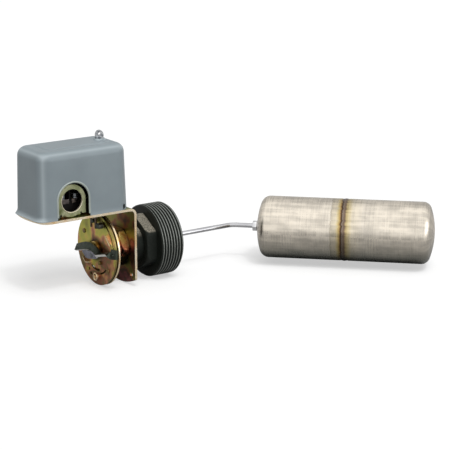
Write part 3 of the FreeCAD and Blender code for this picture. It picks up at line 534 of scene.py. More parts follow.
@dataclass
class Grid:
    """A surface of rows by columns of points, in millimetres, whose columns close on themselves."""

    points: np.ndarray
    close_rows: bool = False
    cap: bool = False

    def faces(self) -> list[list[int]]:
        """Quads between neighbouring rows and columns, and end caps where they are asked for.

        Returns:
            Each face, as the numbers of its points.
        """
        rows, columns = self.points.shape[:2]
        index = np.arange(rows * columns).reshape(rows, columns)
        wide = np.concatenate([index, index[:, :1]], axis=1)
        wide = np.concatenate([wide, wide[:1]], axis=0) if self.close_rows else wide
        quads = np.stack([wide[:-1, :-1], wide[:-1, 1:], wide[1:, 1:], wide[1:, :-1]], axis=-1)
        faces = quads.reshape(-1, 4).tolist()
        if self.cap:
            faces += [index[0, ::-1].tolist(), index[-1].tolist()]
        return faces


def place_object(name: str, mesh: bpy.types.Mesh) -> Object:
    """Puts a mesh into the scene as an object of its own.

    Args:
        name: the object's name.
        mesh: its mesh.

    Returns:
        The object, at the origin.
    """
    made = bpy.data.objects.new(name, mesh)
    bpy.context.scene.collection.objects.link(made)
    return made


def mesh_object(name: str, grid: Grid, solid: bool = True) -> Object:
    """Makes one object from a surface, with doubled points merged.

    Args:
        name: the piece's name.
        grid: its surface.
        solid: whether it is closed, so that its faces can be turned outwards.

    Returns:
        The object, linked to the scene.
    """
    mesh = bpy.data.meshes.new(name)
    mesh.from_pydata((grid.points.reshape(-1, 3) * MM).tolist(), [], grid.faces())
    work = bmesh.new()
    work.from_mesh(mesh)
    bmesh.ops.remove_doubles(work, verts=work.verts, dist=WELD)
    bmesh.ops.dissolve_degenerate(work, edges=work.edges, dist=WELD)
    if solid:
        bmesh.ops.recalc_face_normals(work, faces=work.faces)
    work.to_mesh(mesh)
    work.free()
    return place_object(name, mesh)


def prism(name: str, flat: np.ndarray, axis: int, ends: tuple[float, float]) -> Object:
    """A closed outline carried straight along one axis.

    Args:
        name: the piece's name.
        flat: n by 2 points in the plane of the other two axes.
        axis: 0, 1 or 2 for X, Y or Z.
        ends: where it starts and stops.

    Returns:
        The closed solid.
    """
    return mesh_object(name, Grid(np.stack([np.insert(flat, axis, end, axis=1) for end in ends]), cap=True))


def bake_modifiers(piece: Object) -> None:
    """Replaces a piece's mesh by what its modifiers make of it.

    Args:
        piece: the object, which keeps no modifier.
    """
    mesh = bpy.data.meshes.new_from_object(piece.evaluated_get(bpy.context.evaluated_depsgraph_get()))
    piece.modifiers.clear()
    piece.data = mesh


def combine(piece: Object, tools: Sequence[Object], operation: str) -> None:
    """Joins solids to a piece by UNION or cuts them out by DIFFERENCE, and removes them.

    Args:
        piece: the object that is kept.
        tools: the solids that go into or out of it.
        operation: UNION or DIFFERENCE.
    """
    for tool in tools:
        step = piece.modifiers.new("step", "BOOLEAN")
        step.operation, step.solver, step.object = operation, "EXACT", tool
    bake_modifiers(piece)
    for tool in tools:
        bpy.data.objects.remove(tool)


def full_turn(count: int) -> np.ndarray:
    """Angles of a whole turn, without its end."""
    return np.linspace(0, FULL_TURN, count, endpoint=False)


def arc(x: float, y: float, radius: float, angle: np.ndarray) -> np.ndarray:
    """Points of a circle about x, y at the given angles."""
    return np.stack([x + radius * np.cos(angle), y + radius * np.sin(angle)], axis=-1)


def round_corners(points: Sequence[tuple[float, float]], radii: float | Sequence[float], closed: bool = True,
                  steps: int = 4, straight: float = 0.02, share_of_side: float = 0.45) -> np.ndarray:
    """Rounds the corners of an outline with arcs tangent to both sides.

    Each arc starts and ends at radius / tan(half the corner's angle) from its corner.

    Args:
        points: the outline's corners.
        radii: one radius, or one for each corner.
        closed: whether the outline joins its ends.
        steps: straight pieces in each arc.
        straight: a turn of less than this, in radians, stays as it is.
        share_of_side: the most of a side that an arc may take.

    Returns:
        The rounded outline, n by 2.
    """
    corners = np.asarray(points, float)
    count = len(corners)
    made = []
    for k, (here, radius) in enumerate(zip(corners, np.broadcast_to(radii, count))):
        sides = corners[k - 1] - here, corners[(k + 1) % count] - here
        lengths = [np.linalg.norm(side) for side in sides]
        back, ahead = [side / length for side, length in zip(sides, lengths)]
        between = math.acos(float(np.clip(back @ ahead, -1, 1)))
        if radius <= 0 or (not closed and k in (0, count - 1)) or math.pi - between < straight:
            made.append(here[None])
            continue
        reach = min(radius / math.tan(between / 2), share_of_side * min(lengths))
        radius = reach * math.tan(between / 2)
        middle = (back + ahead) / np.linalg.norm(back + ahead)
        centre = here + middle * radius / math.sin(between / 2)
        first, last = here + back * reach - centre, here + ahead * reach - centre
        turn = math.acos(float(np.clip(first @ last / radius ** 2, -1, 1)))
        share = np.linspace(0, 1, steps + 1)[:, None]
        swing = np.sin((1 - share) * turn) * first + np.sin(share * turn) * last
        made.append(centre + swing / math.sin(turn))
    return np.concatenate(made)


@dataclass(frozen=True)
class Axis:
    """A turned piece's own axis: where it starts, where it points, and which way its angle starts."""

    origin: Point = (0.0, 0.0, 0.0)
    along: Point = (1.0, 0.0, 0.0)
    side: Point = (0.0, 1.0, 0.0)

    def grid(self, length: np.ndarray, radius: np.ndarray, angle: np.ndarray, **ends: bool) -> Grid:
        """Surface round the axis: origin + length x along + radius x (cos angle x side + sin angle x third).

        Args:
            length: distance along the axis, as a column or a table.
            radius: distance from it, likewise.
            angle: angles round it, one for each column of the surface.
            ends: how its first and last rows end, as in Grid.

        Returns:
            The surface.
        """
        length, radius, angle = [part[..., None] for part in np.broadcast_arrays(length, radius, angle)]
        along, side = np.asarray(self.along), np.asarray(self.side)
        across = np.cos(angle) * side + np.sin(angle) * np.cross(along, side)
        return Grid(np.asarray(self.origin) + length * along + radius * across, **ends)


def turned(profile: np.ndarray, axis: Axis, segments: int, closed: bool = True) -> Grid:
    """Surface of revolution: each profile point (length, radius) is carried round the axis.

    Args:
        profile: n by 2 lengths and radii.
        axis: the axis of revolution.
        segments: columns round the axis.
        closed: whether the profile is a closed outline, as in a ring, or gets flat ends.

    Returns:
        The surface.
    """
    return axis.grid(profile[:, :1], profile[:, 1:], full_turn(segments), close_rows=closed, cap=not closed)


def smooth_least(a: np.ndarray, b: np.ndarray, width: float) -> np.ndarray:
    """The smaller of two values, blended by a parabola where they are within width of each other."""
    share = np.clip(0.5 + 0.5 * (b - a) / width, 0, 1)
    return b * (1 - share) + a * share - width * share * (1 - share)


def smooth_step(share: np.ndarray) -> np.ndarray:
    """Rises from 0 to 1 with no slope at either end: 3 s^2 - 2 s^3."""
    return share * share * (3 - 2 * share)


def hexagon_radius(angle: np.ndarray, across_flats: float, vertex_deg: float, corner: float) -> np.ndarray:
    """Radius of a hexagon at each angle: half the flats over the cosine from the nearest flat's middle.

    The corner is rounded by a smooth minimum with a circle just inside the vertices.

    Args:
        angle: angles round the axis.
        across_flats: distance between opposite flats.
        vertex_deg: angle of one vertex.
        corner: how far the corners are worn back.

    Returns:
        The radius at each angle.
    """
    sector = math.pi / 3
    off = np.mod(angle - math.radians(vertex_deg), sector) - sector / 2
    return smooth_least(across_flats / 2 / np.cos(off), across_flats / math.sqrt(3) - corner, corner)


def swept(path: np.ndarray, section: np.ndarray, normals: np.ndarray) -> Grid:
    """A section carried along a path: point = path + first x normal + second x (tangent x normal).

    Args:
        path: n by 3 points.
        section: m by 2 points of the closed section, or n by m by 2 where it changes.
        normals: directions of the section's first axis, n by 3 or the same for all.

    Returns:
        The surface, with its ends closed.
    """
    tangent = np.gradient(path, axis=0)
    tangent /= np.linalg.norm(tangent, axis=1, keepdims=True)
    first = normals - (normals * tangent).sum(1, keepdims=True) * tangent
    first /= np.linalg.norm(first, axis=1, keepdims=True)
    second = np.cross(tangent, first)
    flat = np.broadcast_to(section, (len(path),) + section.shape[-2:])
    return Grid(path[:, None] + flat[..., :1] * first[:, None] + flat[..., 1:] * second[:, None], cap=True)


def circle(radius: float, count: int = 12) -> np.ndarray:
    """A round section of count points."""
    return arc(0.0, 0.0, radius, full_turn(count))


# Each finish by its name, with what it gives the eye
FINISHES: dict[str, Finish] = {
    # Blue-grey enamel: even, with a soft sheen and a painted highlight on rounded edges and corners
    "stove_enamel": StoveEnamel("#8B969B", "#848F94"),
    # The same enamel made paler for the rolled edges of the notches: a painted highlight along each edge
    "painted_highlight_enamel": StoveEnamel("#AEB6AE", "#9FA8A2"),
    # Black oiled iron: dull and grainy, with bright worn thread crests
    "oiled_casting": OiledCasting(),
    # Drawn bar: bright, almost a mirror, with faint grain
    "drawn_stainless": PlainMetal("#D0D0D2", "#B6B6BA", 0.16, 2.0, 0.05, relief=0.02, patch_mm=30.0),
    # Faced flats of a stainless nut: the whitest metal, slightly clouded
    "faced_stainless": PlainMetal("#FAFAFA", "#D8D8DA", 0.16, patch_mm=3.0),
    # Turned brass: yellow, with fine tool marks
    "turned_brass": PlainMetal("#D0A54E", "#A67A34", 0.24),
    # Pressed bronze bush: brown and dull
    "sintered_bronze": PlainMetal("#A9794A", "#7C5632", 0.42),
    # Nickel on the terminals: grey-brown, darkened as painted shade so the hole stays dark
    "nickel_in_painted_shade": PlainMetal("#6E6664", "#464140", 0.25),
    # Bright zinc: silvery, clouded in small patches
    "bright_zinc": PlainMetal("#F0F2F4", "#8C9096", 0.16, patch_mm=2.6),
    # Older zinc on screws: flat grey
    "dull_zinc": PlainMetal("#8E9196", "#6E7472", 0.34, 0.9),
    # Oiled steel: almost black-green; also the painted shade on the lever's upper faces and end plate
    "dark_steel_and_shade": PlainMetal("#4C534A", "#3A4038", 0.36, 0.9),
    # Blued steel gone brown
    "brown_steel": PlainMetal("#7C6A58", "#4A3E36"),
    # Drawn spring wire: grey, with a duller second tone
    "spring_wire": PlainMetal("#7E7C74", "#4E4C44", 0.25),
    # Rolled steel strip: a pale grey, half matt face
    "lever_face": PlainMetal("#A4A6B4", "#8C8E9A", 0.35, metallic=0.35),
    # Its sheared edge: nearly white, a painted highlight
    "lever_edge": PlainMetal("#FFFFFA", "#ECEAE4", metallic=0.5),
    # Phenolic moulding: black, so the hole beside it stays dark
    "phenolic": Moulding("#0A0808"),
    # Rubber packing: dull black
    "seal_rubber": Moulding("#232323"),
    # Film of the bracket: olive and gold above, rose and brown below, with painted shade round the shaft
    "chromate_plate": YellowChromate(
        ((0.24, "#566438"), (0.34, "#8E8E48"), (0.43, "#9C924C"), (0.49, "#A06C4C"), (0.56, "#5E4A3A"),
         (0.63, "#955A5A"), (0.74, "#8A6450"), (0.84, "#465838")), 20.0, -2.2, (0.01, 0.02, 0.03),
        shade_ring=(17.0, 24.0)),
    # Cut edge of the plate: almost cream, a painted highlight
    "chromate_edge_highlight": YellowChromate(
        ((0.3, "#FFE9C4"), (0.5, "#FFF1D6"), (0.7, "#F7D3A0")), 16.0, roughness=0.26),
    # Film of the nuts: gold, lighter above as a painted highlight and nearly black below as painted shade
    "chromate_nut_painted_light": YellowChromate(
        ((0.2, "#D6B878"), (0.32, "#C48E5A"), (0.42, "#A9664A"), (0.50, "#7E4636"), (0.56, "#2E221C"),
         (0.75, "#15130F")), 9.0, -16.0, roughness=0.26),
    # Film of the front disc: yellow and olive with rose bands, with painted shade round the hub
    "chromate_front_disc": YellowChromate(
        ((0.24, "#968E4E"), (0.36, "#BABA5A"), (0.47, "#DACC66"), (0.53, "#DEA274"), (0.58, "#B87E64"),
         (0.62, "#8E8252"), (0.68, "#AA705A"), (0.78, "#7E7A50")), 20.0, -2.6, (0.0, 0.011, 0.004),
        shade_ring=(9.5, 15.0)),
    # Film of the back disc: olive and tan
    "chromate_back_disc": YellowChromate(((0.3, "#8E8A46"), (0.5, "#A08456"), (0.7, "#66663F")), 16.0),
    # Punched rims and slots of the disc: darker olive
    "olive_rim": YellowChromate(((0.35, "#6E6A3C"), (0.65, "#A08A54")), 12.0),
    # Pale cream: a painted highlight on the discs' rims and standing tabs, and the loop pin's own colour
    "cream_and_rim_highlight": YellowChromate(((0.3, "#FFE4B4"), (0.5, "#FFEDCB"), (0.7, "#F2CB92")), 14.0, roughness=0.24),
    # Hub nut: gilt, bright above as a painted highlight and dark below as painted shade
    "gilt_hub_painted_light": YellowChromate(
        ((0.3, "#FFDD8A"), (0.45, "#E8B04E"), (0.55, "#7A5228"), (0.7, "#2E2A1E")), 9.0, -22.0),
    # Olive chromate of the inner frame: duller and greener
    "olive_film": YellowChromate(
        ((0.3, "#70764F"), (0.45, "#999E78"), (0.58, "#B4B592"), (0.72, "#858A64")), 12.0, roughness=0.34),
    # Its cut edge and the rim of each hole: a pale line, a painted highlight
    "olive_edge_highlight": YellowChromate(((0.3, "#E6DFC0"), (0.6, "#FFF6DC")), 8.0)}


@dataclass
class Workshop:
    """The fixed solids and the finishes that all the assemblies share."""

    nodes: dict[str, Object]
    made: dict[str, Material] = field(default_factory=dict)
    joined_deg: float = 0.4
    edge_deg: float = 34.0

    def finish(self, name: str) -> Material:
        """Returns a finish by name, building it from its recipe the first time.

        Args:
            name: a finish of the table, or one that was made before.

        Returns:
            The material.
        """
        if name not in self.made:
            self.made[name] = FINISHES[name].build(name)
        return self.made[name]

    def dress(self, piece: Object, body: Body, finish: str, node: str = "",
              sharp_deg: float = 34.0) -> None:
        """Shades a new piece, gives it its finish and fastens it to its body.

        Args:
            piece: the object.
            body: the body it rides on.
            finish: name of its finish.
            node: the solid that it stands for.
            sharp_deg: edges that turn more than this stay sharp.
        """
        piece.data.shade_smooth()
        piece.data.set_sharp_from_angle(angle=math.radians(sharp_deg))
        if not piece.data.materials:
            piece.data.materials.append(None)
        piece.data.materials[0] = self.finish(finish)
        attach(piece, body.value)
        if node:
            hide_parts(node)
        LOG.info("%s: %d faces", piece.name, len(piece.data.polygons))

    def softened(self, node: str, edge_mm: float, body: Body, finish: str, slot: Slot, *others: str,
                 zone: Callable[[Vector, Vector], int] | None = None, rounded: int = -1) -> None:
        """Copies a solid's mesh, joins its flat faces and rounds its edges as a press or a tumbler leaves them.

        Args:
            node: the solid's name.
            edge_mm: how far each edge is rounded.
            body: the body it rides on.
            finish: name of its finish.
            slot: the record's slot for that finish; not used.
            others: further finishes, such as one for the sheet's cut edges.
            zone: picks a finish from a face's centre and normal, 0 for the first.
            rounded: finish of the rounded edges, or -1 to carry on that of the faces beside them.
        """
        work = bmesh.new()
        work.from_mesh(self.nodes[node].data)
        bmesh.ops.remove_doubles(work, verts=work.verts, dist=WELD)
        joined = math.radians(self.joined_deg)
        bmesh.ops.dissolve_limit(work, angle_limit=joined, verts=work.verts, edges=work.edges)
        work.normal_update()
        for face in work.faces:
            face.material_index = zone(face.calc_center_median(), face.normal) if zone else 0
        mesh = bpy.data.meshes.new(node + "_finished")
        for name in (finish, *others):
            mesh.materials.append(self.finish(name))
        work.to_mesh(mesh)
        work.free()
        piece = place_object(node + "_finished", mesh)
        edge = piece.modifiers.new("edge", "BEVEL")
        edge.width, edge.segments, edge.limit_method = edge_mm * MM, 2, "ANGLE"
        edge.angle_limit, edge.material = math.radians(self.edge_deg), rounded
        piece.modifiers.new("flat", "WEIGHTED_NORMAL").keep_sharp = True
        self.dress(piece, body, finish, node, 60.0)

    def coat(self, finish: str, *nodes: str) -> None:
        """Gives solids that stay as they are a better finish.

        Args:
            finish: name of the finish.
            nodes: the solids' names.
        """
        for node in nodes:
            solid = self.nodes[node]
            if not solid.material_slots:
                solid.data.materials.append(None)
            for place in solid.material_slots:
                place.material = self.finish(finish)
            LOG.info("%s: kept, %s", node, finish)


@dataclass
class Cover:
    """The drawn cover with its flared lip and notches, and the eye nut on top."""

    x0: float = -129.4
    x1: float = -31.4
    half_width: float = 28.6
    z0: float = 43.2
    top: float = 108.4
    draft_left: float = 0.9
    draft_right: float = 1.5
    draft_side: float = 1.4
    corner: float = 12.0
    least_corner: float = 0.8
    top_round: float = 8.6
    # Lip: how far it flares at the left end, beside it and at its corners, and how high it reaches
    lip: float = 2.6
    lip_side: float = 0.45
    lip_corner: float = 0.7
    lip_height: float = 4.6
    wall: float = 1.0
    # Notch: X, Z and radius
    notch: Point = (-94.8, 60.8, 17.8)
    # Rolled edge, painted paler as a highlight: its radius, where its feet start and end over the cover's, and
    # how far inside the cut it lies
    rolled_r: float = 1.0
    rolled_foot: tuple[float, float] = (2.5, 9.0)
    rolled_inside: tuple[float, float] = (0.45, 0.25)
    # Low slot: X, Z of both its ends, and radius
    slot_hole: tuple[float, float, float, float] = (-38.6, 45.2, 47.4, 1.5)
    # Raised pad: X of both its ends, half width, corner and height, then the width of its soft edge
    pad: tuple[float, float, float, float, float] = (-114.0, -40.0, 14.5, 5.0, 0.6)
    pad_edge: float = 1.3
    stud: float = -48.6
    # Boss of the stud: radius at its foot and head, height, and bore
    boss: tuple[float, float, float, float] = (6.6, 5.5, 2.0, 2.7)
    side_points: int = 30
    corner_points: int = 14
    top_rows: int = 55

    def outline(self, x0: float, x1: float, half: float, corner: float) -> np.ndarray:
        """Rounded rectangle with an even number of points along each side and each corner.

        Args:
            x0: its left end.
            x1: its right end.
            half: half its width.
            corner: radius of its corners.

        Returns:
            The outline, n by 2.
        """
        left, right, side = x0 + corner, x1 - corner, half - corner
        centres = [(right, side), (left, side), (left, -side), (right, -side)]
        quarter = np.linspace(0, HALF_TURN / 2, self.corner_points, endpoint=False)
        parts = []
        for k, (centre, following) in enumerate(zip(centres, centres[1:] + centres[:1])):
            start, end = k * HALF_TURN / 2, (k + 1) * HALF_TURN / 2
            first, last = arc(*centre, corner, end), arc(*following, corner, end)
            share = np.linspace(0, 1, self.side_points * (1 if k % 2 else 3), endpoint=False)[:, None]
            parts += [arc(*centre, corner, start + quarter), first + share * (last - first)]
        return np.concatenate(parts)

    def level(self, z: float, inset: float = 0.0) -> np.ndarray:
        """Outline of the drafted shell at height z: its sides lean in evenly from foot to top.

        Args:
            z: the height.
            inset: how far inside the wall the outline runs.

        Returns:
            The outline, n by 3.
        """
        share = (z - self.z0) / (self.top - self.z0)
        flare = max(0.0, 1 - (z - self.z0) / self.lip_height) ** 2
        x0 = self.x0 + self.draft_left * share - self.lip * flare + inset
        x1 = self.x1 - self.draft_right * share - inset
        half = self.half_width - self.draft_side * share + self.lip_side * flare - inset
        corner = max(self.corner + self.lip_corner * flare - inset, self.least_corner)
        return np.insert(self.outline(x0, x1, half, corner), 2, z, axis=1)

    def shell_rows(self) -> np.ndarray:
        """Rows from the lip up the wall, round the top edge by a quarter circle, and in to the top's centre.

        Returns:
            The points, rows by columns by 3.
        """
        foot = self.z0 + self.lip_height * np.linspace(0, 1, 8)
        wall = np.linspace(self.z0 + self.lip_height, self.top - self.top_round, 8)[1:-1]
        rows = [self.level(z) for z in np.concatenate([foot, wall])]
        for bend in np.linspace(0, HALF_TURN / 2, 13):
            rows.append(self.level(self.top - self.top_round * (1 - math.sin(bend)),
                                   self.top_round * (1 - math.cos(bend))))
        centre = np.array([(self.x0 + self.x1) / 2, 0.0, self.top])
        # The power sets the rows closer together near the rim, where the pad's edge runs
        share = np.linspace(0, 1, self.top_rows + 1)[1:, None, None] ** 1.35
        top = rows[-1] * (1 - share) + centre * share
        top[..., 2] = self.top + self.pad_height(top[..., 0], top[..., 1])
        return np.concatenate([np.stack(rows), top])

    def pad_height(self, x: np.ndarray, y: np.ndarray) -> np.ndarray:
        """Raised plain pad: full height inside a rounded rectangle, falling by a smooth step at its edge.

        Args:
            x: places on the top, along the shaft.
            y: the same, across it.

        Returns:
            How far each place stands out.
        """
        x0, x1, half, corner, raised = self.pad
        dx = np.abs(x - (x0 + x1) / 2) - (x1 - x0) / 2 + corner
        dy = np.abs(y) - half + corner
        outside = np.hypot(np.maximum(dx, 0), np.maximum(dy, 0)) + np.minimum(np.maximum(dx, dy), 0) - corner
        return raised * smooth_step(np.clip(-outside / self.pad_edge, 0, 1))

    def build(self, shop: Workshop) -> None:
        """Makes the shell, cuts its notches and holes, and adds the eye nut.

        Args:
            shop: the shared solids and finishes.
        """
        shell = mesh_object("cover_shell", Grid(self.shell_rows()), solid=False)
        thick = shell.modifiers.new("wall", "SOLIDIFY")
        thick.thickness, thick.offset = self.wall * MM, -1.0
        bake_modifiers(shell)
        combine(shell, self.cutters(), "DIFFERENCE")
        foot, head, height, bore = self.boss
        ring = round_corners([(self.top - 0.6, foot), (self.top + 0.4, foot - 0.2),
                              (self.top + height - 0.4, head + 0.1), (self.top + height, head - 0.3),
                              (self.top + height, bore), (self.top - 0.6, bore)], 0.25)
        boss = mesh_object("cover_boss", turned(ring, Axis((self.stud, 0, 0), (0, 0, 1), (1, 0, 0)), 96))
        # The rolled edges take the paler enamel, a painted highlight
        for name, side in (("front", -1.0), ("back", 1.0)):
            bead = self.rolled_edge(f"rolled_edge_{name}", side)
            shop.dress(bead, Body.COVER, "painted_highlight_enamel")
        shop.dress(shell, Body.COVER, "stove_enamel", "cover", 40.0)
        shop.dress(boss, Body.COVER, "stove_enamel")
        shop.softened("cover_nut", 0.7, Body.NUT, "bright_zinc", Slot.ZINC)
        shop.coat("bright_zinc", "cover_stud", "stud_nut")

    def rolled_edge(self, name: str, side: float) -> Object:
        """Half-round bead along the arch of one notch, where the sheet's edge is rolled.

        Args:
            name: the piece's name.
            side: -1 for the front, 1 for the back.

        Returns:
            The bead.
        """
        x, z, r = self.notch
        smaller, deeper = self.rolled_inside
        r -= smaller
        low, high = [self.z0 + up for up in self.rolled_foot]
        arch = np.concatenate([[(x + r, low), (x + r, high)], arc(x, z, r, np.linspace(0, HALF_TURN, 49)),
                               [(x - r, high), (x - r, low)]])
        lean = self.draft_side * (arch[:, 1] - self.z0) / (self.top - self.z0)
        path = np.insert(arch, 1, side * (self.half_width - lean - deeper), axis=1)
        return mesh_object(name, swept(path, circle(self.rolled_r), np.array([0.0, side, 0.0])))

    def cutters(self) -> list[Object]:
        """Solids for the two arched notches and the two low slots, each running right through.

        Returns:
            The two solids.
        """
        x, z, r = self.notch
        below = self.z0 - 3
        round_top = arc(x, z, r, np.linspace(0, HALF_TURN, 49))
        arch = np.concatenate([round_top, [(x - r, below), (x + r, below)]])
        x, low, high, r = self.slot_hole
        slot = np.concatenate([arc(x, low, r, np.linspace(HALF_TURN, FULL_TURN, 13)),
                               arc(x, high, r, np.linspace(0, HALF_TURN, 13))])
        return [prism("notch_tool", arch, 1, (-40.0, 40.0)), prism("slot_tool", slot, 1, (-40.0, 40.0))]


@dataclass
class Plug:
    """The cast plug with its hexagonal head and pipe thread, and the nuts that clamp the bracket to it."""

    thread_r: float = 36.5
    thread_end: float = 25.4
    pitch: float = 3.175
    depth: float = 1.75
    run_in: float = 1.2
    run_out: float = 1.6
    head_flats: float = 50.8
    head_x: float = -11.3
    # Bevelled face of the head: its radius, then the bevel's radius and slope
    head_cone: tuple[float, float, float] = (24.6, 25.9, 1.05)
    neck_r: float = 19.0
    flange_x: float = -25.6
    stub_x: float = -40.4
    stub_r: float = 12.5
    bore_r: float = 6.0
    # Hollow of the tank end: radius of its mouth and wall, its depth, and the nose that holds the bush
    mouth_r: float = 33.2
    hollow_r: float = 29.5
    hollow_x: float = 9.0
    nose_r: float = 11.5
    nose_x: float = 22.0
    # Thread ridge: steepness of its flanks, height and rounding of its crest, and the share left at its ends
    ridge: tuple[float, float, float, float] = (1.1, 0.93, 0.16, 0.25)
    # Nuts' chamfer: how far outside the flats it starts, its slope, and how far it is blended
    chamfer: tuple[float, float, float] = (0.7, 1.6, 0.4)

    def thread_radius(self, x: np.ndarray, angle: np.ndarray) -> np.ndarray:
        """Helical ridge: radius = crest - depth x (1 - rounded triangle of (x / pitch - angle / turn)).

        The ridge runs out over the first and last millimetres, as a cut thread does.

        Args:
            x: lengths along the shaft.
            angle: angles round it.

        Returns:
            The radius at each.
        """
        phase = np.mod(x / self.pitch - angle / FULL_TURN, 1.0)
        steep, crest, rounding, least = self.ridge
        ridge = smooth_least(np.abs(2 * phase - 1) * steep, crest, rounding)
        inside = np.minimum((self.thread_end - x) / self.run_out, x / self.run_in)
        run = least + (1 - least) * smooth_step(np.clip(inside, 0, 1))
        return self.thread_r - 0.05 - self.depth * (1 - ridge * run)

    def build(self, shop: Workshop) -> None:
        """Makes the plug as one closed surface, then its two nuts.

        Args:
            shop: the shared solids and finishes.
        """
        angle = full_turn(300)
        stub = self.stub_r - 0.2
        outer = round_corners([(self.stub_x, self.bore_r), (self.stub_x, stub), (self.flange_x, stub),
                               (self.flange_x, self.neck_r), (self.head_x, self.neck_r)],
                              [0, 0.5, 0, 0.6, 0.8], False)
        inner = round_corners([(self.thread_end, self.mouth_r), (self.thread_end, self.hollow_r),
                               (self.hollow_x, self.hollow_r), (self.hollow_x, self.nose_r),
                               (self.nose_x, self.nose_r), (self.nose_x, self.bore_r)],
                              [0, 0.8, 3.0, 3.0, 0.8, 0], False)
        along = np.array([0.0, 0.25, 0.7, 1.4, 2.4, 3.6, 5.0, 8.0, 10.8, 11.3])[:, None]
        flats = hexagon_radius(angle, self.head_flats, 30.0, 0.9)
        face_r, cone_r, slope = self.head_cone
        head = smooth_least(flats, cone_r + slope * along, 1.2)
        head[0] = np.minimum(head[0], face_r)
        head[-1] = flats
        thread_x = np.linspace(0.0, self.thread_end, 128)[1:, None]
        bands = ((outer[:, :1], outer[:, 1:]), (self.head_x + along, head),
                 (np.zeros((1, 1)), self.thread_r - self.depth * 0.9),
                 (thread_x, self.thread_radius(thread_x, angle)), (inner[:, :1], inner[:, 1:]))
        x, r = map(np.concatenate, zip(*[np.broadcast_arrays(*band, angle)[:2] for band in bands]))
        body = mesh_object("iron_plug", Axis().grid(x, r, angle, close_rows=True))
        shop.dress(body, Body.BASE, "oiled_casting", "bushing", 40.0)
        # The nuts' film is lighter above as a painted highlight and nearly black below as painted shade
        for node, *size in (("locknut", -36.0, -28.0, 36.4, 0.0), ("jam_nut", -40.2, -36.1, 34.0, 4.0)):
            nut = mesh_object(f"{node}_hexagon", self.hexagon_nut(*size))
            shop.dress(nut, Body.BASE, "chromate_nut_painted_light", node, 38.0)
        shop.softened("gland", 0.3, Body.BASE, "turned_brass", Slot.BRASS)
        shop.coat("sintered_bronze", "shaft_bush")
        shop.coat("seal_rubber", "packing_ring_1", "packing_ring_2", "packing_ring_3")

    def hexagon_nut(self, x0: float, x1: float, flats: float, vertex_deg: float) -> Grid:
        """A chamfered nut on the stub: its radius is the least of the hexagon and a cone at each end.

        Args:
            x0: its outer face.
            x1: its inner face.
            flats: distance between opposite flats.
            vertex_deg: angle of one vertex.

        Returns:
            The nut's surface.
        """
        angle = full_turn(144)
        share = np.array([0.0, 0.06, 0.16, 0.3, 0.5, 0.7, 0.84, 0.94, 1.0])[:, None]
        x = x0 + (x1 - x0) * share
        reach = np.minimum(x - x0, x1 - x)
        outside, slope, blend = self.chamfer
        hexagon = hexagon_radius(angle, flats, vertex_deg, 0.5)
        radius = smooth_least(hexagon, flats / 2 + outside + slope * reach, blend)
        bore = np.full((1, len(angle)), self.stub_r)
        x, radius = np.concatenate([x[:1], x, x[-1:]]), np.concatenate([bore, radius, bore])
        return Axis().grid(x, radius, angle, close_rows=True)


